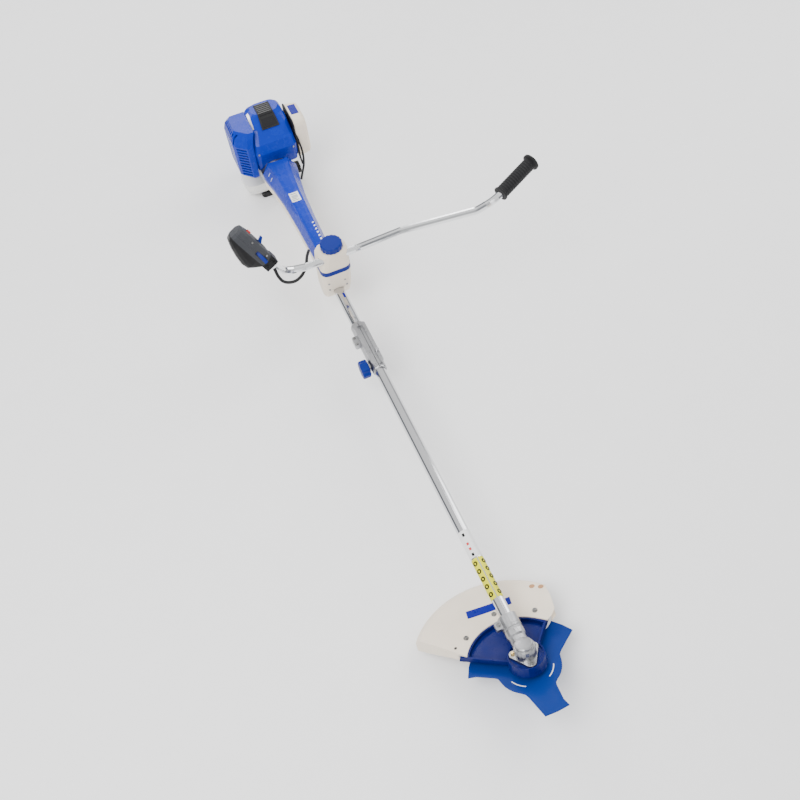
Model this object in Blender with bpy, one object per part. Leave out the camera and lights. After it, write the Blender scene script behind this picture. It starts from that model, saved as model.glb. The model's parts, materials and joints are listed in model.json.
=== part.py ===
"""A petrol brush cutter with a split shaft, a bike handle, a three-tooth blade and a guard.

Metres, +Z up.  The drive tube lies along Y with the blade at -Y and the engine at +Y.
"Machine" coordinates have their zero at the gear apex, where the tube's axis meets the
blade's axis; the empty MACHINE carries them to the frame whose floor is z = 0.
"Head" coordinates have +Z along the blade's axis and +Y rearward in the blade's plane.
"""
import math

import bmesh
import bpy
from mathutils import Matrix, Vector

# ---- driving dimensions -------------------------------------------------------------
APEX = (-0.1428, -0.8326, 0.1152)      # gear apex in the world
HEAD_TILT = math.radians(23.0)         # blade plane against the tube
GAP = 0.0003                           # clearance between touching pieces

TUBE_R = 0.0140                        # drive tube, outside
TUBE_BORE = 0.0125
SOCKET_R = TUBE_R + GAP
SHAFT_R = 0.0040                       # drive shaft
LOWER_TUBE_START = 0.0480
LOWER_TUBE_END = 0.8640
UPPER_TUBE_START = 0.8680
UPPER_TUBE_END = 1.5810

BLADE_R = 0.1275                       # 255 mm blade
BLADE_HUB_R = 0.0675
BLADE_Z = -0.0360                      # blade mid-plane under the apex
BLADE_THICKNESS = 0.0016
TOOTH_HALF_ANGLE = math.radians(12.0)

PINION_TEETH = 15
GEAR_TEETH = 20
GEAR_MODULE = 0.0012

BAR_R = 0.0098                         # handlebar tube
BAR_BEND_R = 0.0450                    # bends of its centre line
BAR_Y = 1.0880                         # the bar's straight middle runs along X here
BAR_Z = 0.1300
BRACKET_FRONT = 1.0760
BRACKET_BACK = 1.1520
BRACKET_HALF = 0.0405
STRIPE_Z = (0.0785, 0.0920)
BRACKET_LEAN = 0.046                   # the bracket drifts towards +X by this share of its height

ARM_START = 1.1535
ARM_END = 1.5720
ARM_SPLIT = 0.0220

ROUND = 20                             # sides of a large round piece
SMALL_ROUND = 16
ALONG_Y = (-math.pi / 2, 0, 0)         # turns local +Z to +Y (local +Y to -Z)
ALONG_X = (0, math.pi / 2, 0)          # turns local +Z to +X (local +X to -Z)

# ---- materials: colour, roughness, metallic ------------------------------------------
FINISHES = {
    "blue_plastic": ((0.010, 0.060, 0.480), 0.22, 0.0),
    "blue_knob": ((0.010, 0.050, 0.360), 0.40, 0.0),
    "blue_guard": ((0.012, 0.024, 0.200), 0.38, 0.0),
    "blue_paint": ((0.008, 0.070, 0.380), 0.30, 0.3),
    "cream_plastic": ((0.800, 0.760, 0.690), 0.45, 0.0),
    "tank_plastic": ((0.820, 0.820, 0.800), 0.40, 0.0),
    "black_plastic": ((0.020, 0.020, 0.022), 0.50, 0.0),
    "grey_plastic": ((0.110, 0.115, 0.130), 0.55, 0.0),
    "rubber": ((0.018, 0.018, 0.018), 0.75, 0.0),
    "red_plastic": ((0.600, 0.020, 0.020), 0.40, 0.0),
    "chrome": ((0.780, 0.780, 0.790), 0.12, 1.0),
    "cast_aluminium": ((0.620, 0.630, 0.640), 0.42, 1.0),
    "steel": ((0.480, 0.480, 0.500), 0.35, 1.0),
    "cast_iron": ((0.120, 0.120, 0.125), 0.60, 1.0),
    "brass": ((0.780, 0.560, 0.220), 0.30, 1.0),
    "ceramic": ((0.900, 0.900, 0.880), 0.25, 0.0),
}
MATERIALS = {}


def material(name):
    if name not in MATERIALS:
        colour, roughness, metallic = FINISHES[name]
        made = bpy.data.materials.new(name)
        made.use_nodes = True
        shader = made.node_tree.nodes["Principled BSDF"]
        shader.inputs["Base Color"].default_value = (*colour, 1.0)
        shader.inputs["Roughness"].default_value = roughness
        shader.inputs["Metallic"].default_value = metallic
        made.diffuse_color = (*colour, 1.0)
        MATERIALS[name] = made
    return MATERIALS[name]


# ---- shapes: each returns (vertices, faces) about the local axes ----------------------
def loft(rings):
    """A closed solid through rings of equally many points, with flat ends."""
    count = len(rings[0])
    vertices = [Vector(point) for ring in rings for point in ring]
    faces = [tuple(reversed(range(count)))]
    for level in range(len(rings) - 1):
        low = level * count
        for i in range(count):
            j = (i + 1) % count
            faces.append((low + i, low + j, low + count + j, low + count + i))
    top = (len(rings) - 1) * count
    faces.append(tuple(range(top, top + count)))
    return vertices, faces


def ring_at(outline, height):
    return [(x, y, height) for x, y in outline]


def prism(outline, low, high):
    return loft([ring_at(outline, low), ring_at(outline, high)])


def circle(radius, count=ROUND, centre=(0.0, 0.0)):
    step = 2 * math.pi / count
    return [(centre[0] + radius * math.cos(i * step), centre[1] + radius * math.sin(i * step))
            for i in range(count)]


def rounded_rect(half_x, half_y, radius, corner=3, centre=(0.0, 0.0)):
    points = []
    for quarter, (sx, sy) in enumerate(((1, 1), (-1, 1), (-1, -1), (1, -1))):
        for i in range(corner + 1):
            angle = math.pi / 2 * (quarter + i / corner)
            points.append((centre[0] + sx * (half_x - radius) + radius * math.cos(angle),
                           centre[1] + sy * (half_y - radius) + radius * math.sin(angle)))
    return points


def rect(x0, x1, y0, y1, radius=0.0, corner=3):
    """An outline between two corners, rounded by radius."""
    centre = ((x0 + x1) / 2, (y0 + y1) / 2)
    if radius == 0.0:
        return [(x1, y1), (x0, y1), (x0, y0), (x1, y0)]
    return rounded_rect((x1 - x0) / 2, (y1 - y0) / 2, radius, corner, centre)


def cylinder(radius, low, high, count=ROUND):
    return prism(circle(radius, count), low, high)


def turned(profile, count=ROUND):
    """A solid turned about local Z from (radius, height) points, bottom to top."""
    rings = [ring_at(circle(radius, count), height) for radius, height in profile]
    return loft(rings)


def turned_ring(profile, count=ROUND):
    """A ring turned about local Z from a closed (radius, height) outline, counter-clockwise."""
    vertices = []
    faces = []
    size = len(profile)
    for i in range(count):
        angle = 2 * math.pi * i / count
        for radius, height in profile:
            vertices.append(Vector((radius * math.cos(angle), radius * math.sin(angle), height)))
    for i in range(count):
        for k in range(size):
            a = i * size + k
            b = i * size + (k + 1) % size
            c = ((i + 1) % count) * size + (k + 1) % size
            d = ((i + 1) % count) * size + k
            faces.append((a, d, c, b))
    return vertices, faces


def sleeve(outer, inner, low, high, count=ROUND):
    return turned_ring([(inner, low), (outer, low), (outer, high), (inner, high)], count)


def lobed(radius, depth, lobes, low, high, points_per_lobe=6):
    """A hand knob: a scalloped rim between two heights, with eased edges."""
    count = lobes * points_per_lobe
    edge = min(0.2 * (high - low), 0.0025)

    def outline(shrink):
        points = []
        for i in range(count):
            angle = 2 * math.pi * i / count
            reach = radius - shrink - depth * (0.5 - 0.5 * math.cos(lobes * angle))
            points.append((reach * math.cos(angle), reach * math.sin(angle)))
        return points

    return loft([ring_at(outline(edge), low), ring_at(outline(0.0), low + edge),
                 ring_at(outline(0.0), high - edge), ring_at(outline(edge), high)])


# ---- objects ---------------------------------------------------------------------------
def empty(name, parent=None, at=(0, 0, 0), turn=(0, 0, 0)):
    made = bpy.data.objects.new(name, None)
    bpy.context.collection.objects.link(made)
    made.parent = parent
    made.location = at
    made.rotation_euler = turn
    return made


def solid(name, shape, finish, parent, at=(0, 0, 0), turn=(0, 0, 0), crease=35.0):
    vertices, faces = shape
    mesh = bpy.data.meshes.new(name)
    mesh.from_pydata([tuple(v) for v in vertices], [], faces)
    work = bmesh.new()
    work.from_mesh(mesh)
    bmesh.ops.recalc_face_normals(work, faces=work.faces)
    work.to_mesh(mesh)
    work.free()
    mesh.shade_smooth()
    mesh.set_sharp_from_angle(angle=math.radians(crease))
    made = bpy.data.objects.new(name, mesh)
    bpy.context.collection.objects.link(made)
    made.data.materials.append(material(finish))
    made.parent = parent
    made.location = at
    made.rotation_euler = turn
    return made


def helper(target, shape, operation, parent=None, at=(0, 0, 0), turn=(0, 0, 0)):
    """A hidden solid that a Boolean joins to the target or takes from it."""
    name = f"{operation.lower()}_{target.name}_{len(target.modifiers)}"
    finish = target.data.materials[0].name
    made = solid(name, shape, finish, parent or target.parent, at, turn)
    made.hide_render = True
    made.display_type = 'WIRE'
    step = target.modifiers.new(name, 'BOOLEAN')
    step.operation = operation
    step.object = made
    step.solver = 'EXACT'
    return made


def join(target, shape, parent=None, at=(0, 0, 0), turn=(0, 0, 0)):
    return helper(target, shape, 'UNION', parent, at, turn)


def cut(target, shape, parent=None, at=(0, 0, 0), turn=(0, 0, 0)):
    return helper(target, shape, 'DIFFERENCE', parent, at, turn)


def towards(direction):
    """The Euler turn that carries local +Z to the direction."""
    return Vector(direction).to_track_quat('Z', 'Y').to_euler()


def bent_route(corners, radius, arc_steps=6):
    """Points along a bent tube: straight runs joined by arcs of the given radius."""
    points = [Vector(corners[0])]
    for before, corner, after in zip(corners, corners[1:], corners[2:]):
        corner = Vector(corner)
        back = (Vector(before) - corner).normalized()
        ahead = (Vector(after) - corner).normalized()
        half = back.angle(ahead) / 2
        reach = radius / math.tan(half)
        middle = corner + (back + ahead).normalized() * (radius / math.sin(half))
        start = corner + back * reach - middle
        end = corner + ahead * reach - middle
        for i in range(arc_steps + 1):
            points.append(middle + start.slerp(end, i / arc_steps).normalized() * radius)
    points.append(Vector(corners[-1]))
    return points


def smooth_route(knots, count):
    """Points at equal steps of a Catmull-Rom curve through the knots."""
    knots = [Vector(k) for k in knots]
    ends = [2 * knots[0] - knots[1]] + knots + [2 * knots[-1] - knots[-2]]
    fine = []
    for a, b, c, d in zip(ends, ends[1:], ends[2:], ends[3:]):
        for i in range(20):
            t = i / 20
            fine.append(0.5 * (2 * b + (c - a) * t + (2 * a - 5 * b + 4 * c - d) * t * t
                               + (3 * b - a - 3 * c + d) * t * t * t))
    fine.append(knots[-1])
    lengths = [0.0]
    for p, q in zip(fine, fine[1:]):
        lengths.append(lengths[-1] + (q - p).length)
    points = []
    index = 0
    for i in range(count):
        want = lengths[-1] * i / (count - 1)
        while index < len(fine) - 2 and lengths[index + 1] < want:
            index += 1
        span = lengths[index + 1] - lengths[index]
        points.append(fine[index].lerp(fine[index + 1], (want - lengths[index]) / span))
    return points


def round_bar(name, points, radius, finish, parent, resolution):
    curve = bpy.data.curves.new(name, 'CURVE')
    curve.dimensions = '3D'
    curve.bevel_depth = radius
    curve.bevel_resolution = resolution
    curve.use_fill_caps = True
    spline = curve.splines.new('POLY')
    spline.points.add(len(points) - 1)
    for point, where in zip(spline.points, points):
        point.co = (*where, 1.0)
    made = bpy.data.objects.new(name, curve)
    bpy.context.collection.objects.link(made)
    made.data.materials.append(material(finish))
    made.parent = parent
    return made


# ---- gear head -------------------------------------------------------------------------
def flange_outline(reach, corner_radius):
    """A triangle with large round corners: one corner forward, two rearward."""
    points = []
    for k in range(3):
        middle_angle = -math.pi / 2 + k * 2 * math.pi / 3
        cx = (reach - corner_radius) * math.cos(middle_angle)
        cy = (reach - corner_radius) * math.sin(middle_angle)
        for i in range(-3, 4):
            angle = middle_angle + i * math.pi / 9
            points.append((cx + corner_radius * math.cos(angle),
                           cy + corner_radius * math.sin(angle)))
    return points


FLANGE_HALF = 0.0030
FLANGE_REACH = 0.0355
FLANGE_CORNER_R = 0.0110
GEARCASE_TOP = 0.0300


def gearcase(machine, head):
    case = solid("gearcase", turned([(0.0215, -0.0240), (0.0225, -0.0200), (0.0225, 0.0270),
                                     (0.0205, GEARCASE_TOP)]), "cast_aluminium", head)
    join(case, prism(flange_outline(FLANGE_REACH, FLANGE_CORNER_R), -FLANGE_HALF, FLANGE_HALF))
    neck = turned([(0.0185, 0.0050), (0.0185, 0.0400), (0.0212, 0.0440), (0.0212, 0.0560),
                   (0.0200, 0.0572), (0.0200, 0.0598), (0.0212, 0.0610), (0.0212, 0.0900)])
    join(case, neck, machine, turn=ALONG_Y)
    lug = prism(rect(-0.0330, -0.0150, 0.0660, 0.0850, 0.0040), -0.0070, 0.0070)
    join(case, lug, machine, at=(0, 0, 0.0040))
    cut(case, cylinder(SOCKET_R, 0.0470, 0.1000), machine, turn=ALONG_Y)
    cut(case, cylinder(0.0122, 0.0040, 0.0475), machine, turn=ALONG_Y)
    cut(case, cylinder(0.0160, 0.0020, 0.0400))
    cut(case, cylinder(0.0062, -0.0300, 0.0100))
    cut(case, prism(rect(-0.0400, -0.0100, 0.0600, 0.0950), -0.0008, 0.0008), machine,
        at=(0, 0, 0.0040))
    return case


def gearcase_cap(head):
    low = GEARCASE_TOP + GAP
    solid("gearcase_cap", turned([(0.0185, low), (0.0185, low + 0.0040), (0.0172, low + 0.0055)]),
          "cast_aluminium", head)


def grease_plug(head):
    angle = math.radians(150.0)
    reach = 0.0275
    low = FLANGE_HALF + GAP
    plug = turned([(0.0042, low), (0.0042, low + 0.0035), (0.0034, low + 0.0048)], 6)
    solid("grease_plug", plug, "brass", head,
          at=(reach * math.cos(angle), reach * math.sin(angle), 0), crease=20.0)


def bevel_cones():
    """Pitch angles of pinion and gear, whose axes stand (90 - tilt) degrees apart."""
    between = math.pi / 2 - HEAD_TILT
    ratio = GEAR_TEETH / PINION_TEETH
    pinion = math.atan(math.sin(between) / (ratio + math.cos(between)))
    return pinion, between - pinion


def bevel_gear(teeth, pitch_angle, cone, phase):
    """Toothed rings on a cone about local Z with its tip at zero: (inner ring, outer ring)."""
    tip = pitch_angle + 0.75 * GEAR_MODULE / cone
    root = pitch_angle - 1.05 * GEAR_MODULE / cone
    rings = []
    for reach in (0.72 * cone, cone):
        ring = []
        for tooth in range(teeth):
            middle = phase + 2 * math.pi * tooth / teeth
            pitch = 2 * math.pi / teeth
            for offset, slope in ((-0.26, root), (-0.11, tip), (0.11, tip), (0.26, root)):
                angle = middle + offset * pitch
                ring.append((reach * math.sin(slope) * math.cos(angle),
                             reach * math.sin(slope) * math.sin(angle),
                             reach * math.cos(slope)))
        rings.append(ring)
    return rings


def hub_ring(radius, height, like):
    """A round ring with a point at the same angle as each point of another ring."""
    ring = []
    for x, y, _ in like:
        angle = math.atan2(y, x)
        ring.append((radius * math.cos(angle), radius * math.sin(angle), height))
    return ring


def output_shaft(spindle):
    """The driven bevel gear and the shaft that carries the blade, in one forging."""
    cone = GEAR_MODULE * GEAR_TEETH / 2 / math.sin(bevel_cones()[1])
    phase = math.pi / 2 + math.pi / GEAR_TEETH
    inner, outer = bevel_gear(GEAR_TEETH, bevel_cones()[1], cone, phase)
    face = cone * math.cos(bevel_cones()[1])
    rings = [hub_ring(0.0048, -0.0520, inner), hub_ring(0.0048, inner[0][2] - 0.0015, inner)]
    rings += [inner, outer]
    rings.append(hub_ring(0.0090, face + 0.0030, inner))
    rings.append(hub_ring(0.0060, GEARCASE_TOP - 0.0010, inner))
    solid("output_shaft", loft(rings), "steel", spindle, crease=25.0)


def bevel_pinion(lower_drive):
    cone = GEAR_MODULE * GEAR_TEETH / 2 / math.sin(bevel_cones()[1])
    inner, outer = bevel_gear(PINION_TEETH, bevel_cones()[0], cone, -math.pi / 2)
    face = cone * math.cos(bevel_cones()[0])
    rings = [inner, outer, hub_ring(0.0075, face + 0.0022, inner),
             hub_ring(0.0070, 0.0400, inner)]
    pinion = solid("bevel_pinion", loft(rings), "steel", lower_drive, crease=25.0)
    cut(pinion, cylinder(SHAFT_R + GAP, 0.0190, 0.0500, SMALL_ROUND))


def blade(spindle):
    """A hub disc with three teeth, each straight on its leading side and flared behind."""
    outline = []
    for tooth in range(3):
        middle = -math.pi / 2 + math.radians(1.0) + tooth * 2 * math.pi / 3
        for angle, radius in ((-0.72, BLADE_HUB_R), (-0.57, BLADE_HUB_R * 1.03),
                              (-0.47, BLADE_HUB_R * 1.13)):
            outline.append((middle + angle, radius))
        outline.append((middle - TOOTH_HALF_ANGLE, BLADE_R))
        outline.append((middle, BLADE_R * 0.992))
        outline.append((middle + TOOTH_HALF_ANGLE, BLADE_R))
        outline.append((middle + 0.215, BLADE_R * 0.86))
        for angle, radius in ((0.38, BLADE_HUB_R * 1.10), (0.45, BLADE_HUB_R * 1.02),
                              (0.56, BLADE_HUB_R)):
            outline.append((middle + angle, radius))
        gap_start = middle + 0.56
        gap = 2 * math.pi / 3 - 0.56 - 0.72
        outline += [(gap_start + gap * i / 6, BLADE_HUB_R) for i in range(1, 6)]
    points = [(radius * math.cos(angle), radius * math.sin(angle)) for angle, radius in outline]
    half = BLADE_THICKNESS / 2
    plate = solid("blade", prism(points, BLADE_Z - half, BLADE_Z + half), "blue_paint", spindle)
    cut(plate, cylinder(0.0048 + GAP, BLADE_Z - 0.01, BLADE_Z + 0.01, SMALL_ROUND))


def clamp_plates(spindle):
    top = BLADE_Z + BLADE_THICKNESS / 2 + GAP
    upper = turned_ring([(0.0048 + GAP, top), (0.0260, top), (0.0260, top + 0.0030),
                         (0.0110, top + 0.0040), (0.0090, top + 0.0070),
                         (0.0048 + GAP, top + 0.0070)], SMALL_ROUND)
    solid("upper_clamp_plate", upper, "steel", spindle)
    low = BLADE_Z - BLADE_THICKNESS / 2 - GAP
    lower = turned_ring([(0.0048 + GAP, low - 0.0050), (0.0150, low - 0.0050),
                         (0.0240, low - 0.0020), (0.0240, low), (0.0048 + GAP, low)],
                        SMALL_ROUND)
    solid("lower_clamp_plate", lower, "steel", spindle)
    nut_top = low - 0.0050 - GAP
    nut = solid("blade_nut", prism(circle(0.0100, 6), nut_top - 0.0070, nut_top), "steel",
                spindle)
    cut(nut, cylinder(0.0048 + GAP, nut_top - 0.02, nut_top + 0.01, SMALL_ROUND))


# ---- guard -----------------------------------------------------------------------------
GUARD_INNER_CENTRE = (-0.0150, 0.0150)
GUARD_INNER_R = 0.1050
GUARD_INNER_SPAN = (math.radians(33.0), math.radians(151.0))
GUARD_OUTER_CENTRE = (-0.0340, 0.0500)
GUARD_OUTER_R = 0.1860
GUARD_OUTER_SPAN = (math.radians(36.0), math.radians(147.0))
GUARD_PLATE_Z = (-0.0215, -0.0190)
SKIRT_LIP_Z = -0.0070
SKIRT_FOOT_Z = -0.0250                 # the wall's lower rim, which also rests on the floor
SKIRT_WALL = 0.0026
COLLAR_R = 0.0390
COLLAR_JOINS = (163.0, 115.0, 62.0, 27.0)  # where the sector plate meets the collar, degrees


def arc_point(centre, radius, span, share):
    angle = span[0] + (span[1] - span[0]) * share
    return Vector((centre[0] + radius * math.cos(angle), centre[1] + radius * math.sin(angle)))


def inner_edge(share, extra=0.0):
    return arc_point(GUARD_INNER_CENTRE, GUARD_INNER_R + extra, GUARD_INNER_SPAN, share)


def outer_edge(share, extra=0.0):
    return arc_point(GUARD_OUTER_CENTRE, GUARD_OUTER_R + extra, GUARD_OUTER_SPAN, share)


def guard_base(lower_unit, head):
    """The blue mount: a collar under the gearcase flange and a sector plate behind it."""
    low, high = GUARD_PLATE_Z
    collar = turned_ring([(0.0245, -0.0065), (COLLAR_R - 0.0035, -0.0065),
                          (COLLAR_R - 0.0010, low), (COLLAR_R + 0.0025, low), (COLLAR_R, 0.0015),
                          (COLLAR_R - 0.0025, 0.0015), (COLLAR_R - 0.0027, -0.0036),
                          (0.0245, -0.0036)])
    joins = [arc_point((0.0, 0.0), COLLAR_R - 0.0005, (0.0, 1.0), math.radians(angle))
             for angle in COLLAR_JOINS]
    base = solid("guard_base", collar, "blue_guard", head)
    steps = 16
    outline = [inner_edge(i / steps, 0.0180) for i in range(steps + 1)]
    outline += joins
    join(base, prism([tuple(p) for p in outline], low, high))
    wall_high = SKIRT_LIP_Z - SKIRT_WALL - GAP
    wall = []
    for extra, height in ((-0.0035, low + 0.0003), (0.0150, low + 0.0003),
                          (0.0150, wall_high), (-0.0035, wall_high)):
        wall.append([(*inner_edge(i / steps, extra), height) for i in range(steps + 1)])
    rings = [[wall[k][i] for k in range(4)] for i in range(steps + 1)]
    join(base, loft(rings))
    for share, start in ((0.0, joins[-1]), (1.0, joins[0])):
        end = inner_edge(share, 0.0140)
        side = (end - start).normalized()
        across = Vector((-side.y, side.x)) * (0.0022 if share == 0.0 else -0.0022)
        rib = [start, end, end + 2 * across, start + 2 * across]
        join(base, prism([tuple(p) for p in rib], low + 0.0004, SKIRT_LIP_Z - 0.0030 - GAP))
    cut(base, turned([(0.0192, 0.0), (0.0192, 0.0400), (0.0220, 0.0430), (0.0220, 0.0600)]),
        lower_unit, turn=ALONG_Y)


BULGE_SHARE = 0.16                     # the right end swells over this share of the sweep
SKIRT_ROWS = (                         # way across from lip to wall, rise, swelling of the end
    (0.0, 0.0, 0.0080), (0.10, 0.0030, 0.0180), (0.27, 0.0060, 0.0240), (0.60, 0.0120, 0.0160),
    (0.90, 0.0140, 0.0040), (1.0, 0.0060, 0.0),
)


def skirt_section(share, inset):
    """The top points from the inner lip to the outer wall at one place along the sweep."""
    start = inner_edge(share, inset)
    end = outer_edge(share, -inset)
    along = (end - start).normalized()
    outward = Vector((along.y, -along.x))
    fade = max(0.0, 1.0 - share / BULGE_SHARE) ** 2
    rows = []
    for across, rise, swell in SKIRT_ROWS:
        place = start.lerp(end, across) + outward * (swell * fade)
        rows.append((place.x, place.y, SKIRT_LIP_Z + rise - inset))
    return rows


def skirt_solid(steps, inset, first, last, inner_low, outer_low):
    rings = []
    for i in range(steps + 1):
        share = first + (last - first) * i / steps
        top = skirt_section(share, inset)
        near = (top[0][0], top[0][1], inner_low)
        middle = (top[3][0], top[3][1], min(inner_low, outer_low))
        far = (top[-1][0], top[-1][1], outer_low)
        rings.append([near] + top + [far, middle, (top[2][0], top[2][1], inner_low)])
    return loft(rings)


def guard_skirt(head):
    """The cream deflector: a swept dome over the blade's rear, open underneath."""
    steps = 20
    blade_clear = BLADE_Z + 0.0120
    outer_low = SKIRT_FOOT_Z
    skirt = solid("guard_skirt", skirt_solid(steps, 0.0, 0.0, 1.0, blade_clear, outer_low),
                  "cream_plastic", head)
    cut(skirt, skirt_solid(steps, SKIRT_WALL, 0.010, 0.990, -0.0900, -0.0900))
    inner_gap = []
    gap_top = SKIRT_LIP_Z - SKIRT_WALL - 0.0002
    for extra, height in ((-0.0100, -0.0900), (0.0185, -0.0900), (0.0185, gap_top),
                          (-0.0100, gap_top)):
        inner_gap.append((extra, height))
    rings = []
    for i in range(steps + 1):
        share = -0.11 + 1.14 * i / steps
        rings.append([(*inner_edge(share, extra), height) for extra, height in inner_gap])
    cut(skirt, loft(rings))


# ---- shaft -----------------------------------------------------------------------------
def tubes(machine, lower_unit):
    solid("lower_tube", sleeve(TUBE_R, TUBE_BORE, LOWER_TUBE_START, LOWER_TUBE_END), "chrome",
          lower_unit, turn=ALONG_Y)
    solid("upper_tube", sleeve(TUBE_R, TUBE_BORE, UPPER_TUBE_START, UPPER_TUBE_END), "chrome",
          machine, turn=ALONG_Y)


SPLINE_Y = 0.8655                      # where the two drive shafts meet


def drive_shafts(lower_drive, upper_drive):
    solid("lower_drive_shaft", cylinder(SHAFT_R, 0.0195, SPLINE_Y - 0.0005, SMALL_ROUND),
          "steel", lower_drive)
    upper = turned([(0.0075, SPLINE_Y - 0.0260), (0.0075, SPLINE_Y + 0.0200),
                    (SHAFT_R, SPLINE_Y + 0.0240), (SHAFT_R, CLUTCH_PLATE_Y + 0.0060)],
                   SMALL_ROUND)
    upper_shaft = solid("upper_drive_shaft", upper, "steel", upper_drive)
    cut(upper_shaft, cylinder(SHAFT_R + GAP, SPLINE_Y - 0.0400, SPLINE_Y, SMALL_ROUND))


COUPLING_Y = (0.7950, 0.9560)
COUPLING_KNOB_Y = 0.8200
COUPLING_KNOB_Z = -0.0030
PIN_Y = 0.8420
PIN_X = 0.0090


def coupling_sleeve(machine):
    """A split die-cast clamp: a round sleeve, two long rails with a slit, lugs and bosses."""
    start, end = COUPLING_Y
    shape = turned([(0.0175, start), (0.0190, start + 0.004), (0.0190, end - 0.004),
                    (0.0175, end)])
    part = solid("coupling_sleeve", shape, "cast_aluminium", machine, turn=ALONG_Y)
    rails = prism(rect(-0.0150, 0.0170, 0.8040, 0.9440, 0.0060), 0.0, 0.0250)
    join(part, rails)
    join(part, prism(rect(-0.0300, -0.0120, 0.8860, 0.9160, 0.0040), -0.0030, 0.0130))
    join(part, cylinder(0.0100, -0.0222, -0.0100, SMALL_ROUND), turn=ALONG_X,
         at=(0, COUPLING_KNOB_Y, COUPLING_KNOB_Z))
    cut(part, cylinder(SOCKET_R, 0.7, 1.0), turn=ALONG_Y)
    cut(part, prism(rect(-0.0062, 0.0078, 0.7, 0.9340), 0.0190, 0.0400))
    cut(part, prism(rect(-0.0012, 0.0012, 0.7, 1.0), 0.0100, 0.0400))
    cut(part, cylinder(0.0043, -0.0400, -0.0180, SMALL_ROUND), turn=ALONG_X,
        at=(0, COUPLING_KNOB_Y, COUPLING_KNOB_Z))
    cut(part, cylinder(0.0032, 0.0165, 0.0400, SMALL_ROUND), at=(PIN_X + 0.0035, PIN_Y, 0))


def coupling_knob(machine):
    pivot = empty("coupling_knob_axis", machine, (0, COUPLING_KNOB_Y, COUPLING_KNOB_Z),
                  (0, -math.pi / 2, 0))
    knob = solid("coupling_knob", lobed(0.0235, 0.0028, 8, 0.0225, 0.0440), "blue_knob", pivot)
    join(knob, cylinder(0.0040, 0.0190, 0.0350, SMALL_ROUND))


def coupling_pin(machine):
    pin = turned([(0.0029, 0.0170), (0.0029, 0.0255), (0.0050, 0.0256), (0.0050, 0.0290),
                  (0.0040, 0.0300)], SMALL_ROUND)
    solid("coupling_pin", pin, "steel", machine, at=(PIN_X + 0.0035, PIN_Y, 0))


# ---- handle bracket and bar --------------------------------------------------------------
def bracket_ring(half, front, back, height, radius):
    centre = (BRACKET_LEAN * max(height, 0.0), (front + back) / 2)
    return ring_at(rounded_rect(half, (back - front) / 2, radius, 3, centre), height)


def bracket(machine):
    low, high = STRIPE_Z
    base = loft([bracket_ring(0.0300, BRACKET_FRONT + 0.040, BRACKET_BACK - 0.004, -0.0340, 0.010),
                 bracket_ring(0.0370, BRACKET_FRONT + 0.026, BRACKET_BACK, -0.0240, 0.014),
                 bracket_ring(0.0400, BRACKET_FRONT + 0.012, BRACKET_BACK, 0.0150, 0.016),
                 bracket_ring(BRACKET_HALF, BRACKET_FRONT, BRACKET_BACK, low - GAP, 0.018)])
    part = solid("bracket_base", base, "cream_plastic", machine)
    cut(part, cylinder(SOCKET_R, 1.0, 1.2), turn=ALONG_Y)
    stripe = loft([bracket_ring(BRACKET_HALF + 0.0004, BRACKET_FRONT - 0.0004, BRACKET_BACK,
                                height, 0.018) for height in (low, high)])
    solid("bracket_stripe", stripe, "blue_knob", machine)
    cap = loft([bracket_ring(BRACKET_HALF, BRACKET_FRONT, BRACKET_BACK, high + GAP, 0.018),
                bracket_ring(BRACKET_HALF, BRACKET_FRONT - 0.001, BRACKET_BACK - 0.006, 0.1250,
                             0.020),
                bracket_ring(0.0400, BRACKET_FRONT - 0.002, BRACKET_BACK - 0.014, 0.1400, 0.024),
                bracket_ring(0.0330, BRACKET_FRONT - 0.002, BRACKET_BACK - 0.022, 0.1520, 0.028)])
    top = solid("bracket_cap", cap, "cream_plastic", machine)
    cut(top, cylinder(BAR_R + GAP, -0.1, 0.1), turn=ALONG_X, at=(0, BAR_Y, BAR_Z))
    cut(top, cylinder(0.0048, 0.1350, 0.1700, SMALL_ROUND), at=(KNOB_X, KNOB_Y, 0))


KNOB_X = 0.0070
KNOB_Y = 1.1000


def clamp_knob(machine):
    pivot = empty("clamp_knob_axis", machine, (KNOB_X, KNOB_Y, 0))
    knob = solid("clamp_knob", lobed(0.0290, 0.0016, 16, 0.1523, 0.1700, 4), "blue_knob", pivot)
    join(knob, cylinder(0.0045, 0.1425, 0.1560, SMALL_ROUND))


THROTTLE_FOOT = Vector((-0.1520, 1.0800, 0.1900))
THROTTLE_TOP = Vector((-0.2120, 1.1160, 0.3020))
GRIP_FOOT = Vector((0.4040, 0.9440, 0.2850))
GRIP_TOP = Vector((0.5110, 0.9900, 0.3060))
THROTTLE_AXIS = (THROTTLE_TOP - THROTTLE_FOOT).normalized()
GRIP_AXIS = (GRIP_TOP - GRIP_FOOT).normalized()


def handlebar(bar_unit):
    """One bent tube; its straight middle lies along X through the bracket."""
    zero = Vector((0, BAR_Y, BAR_Z))
    corners = [THROTTLE_FOOT + THROTTLE_AXIS * 0.0450, THROTTLE_FOOT - THROTTLE_AXIS * 0.0080,
               Vector((-0.1250, BAR_Y, 0.1410)), Vector((-0.0700, BAR_Y, BAR_Z)),
               Vector((0.0720, BAR_Y, BAR_Z)),
               Vector((0.1750, 1.0350, 0.1900)), Vector((0.3460, 0.9520, 0.2520)),
               GRIP_FOOT - GRIP_AXIS * 0.0220, GRIP_FOOT + GRIP_AXIS * 0.1120]
    points = []
    for point in bent_route(corners, BAR_BEND_R, 4):
        points.append(point - zero)
    round_bar("handlebar", points, BAR_R, "chrome", bar_unit, 4)


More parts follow.
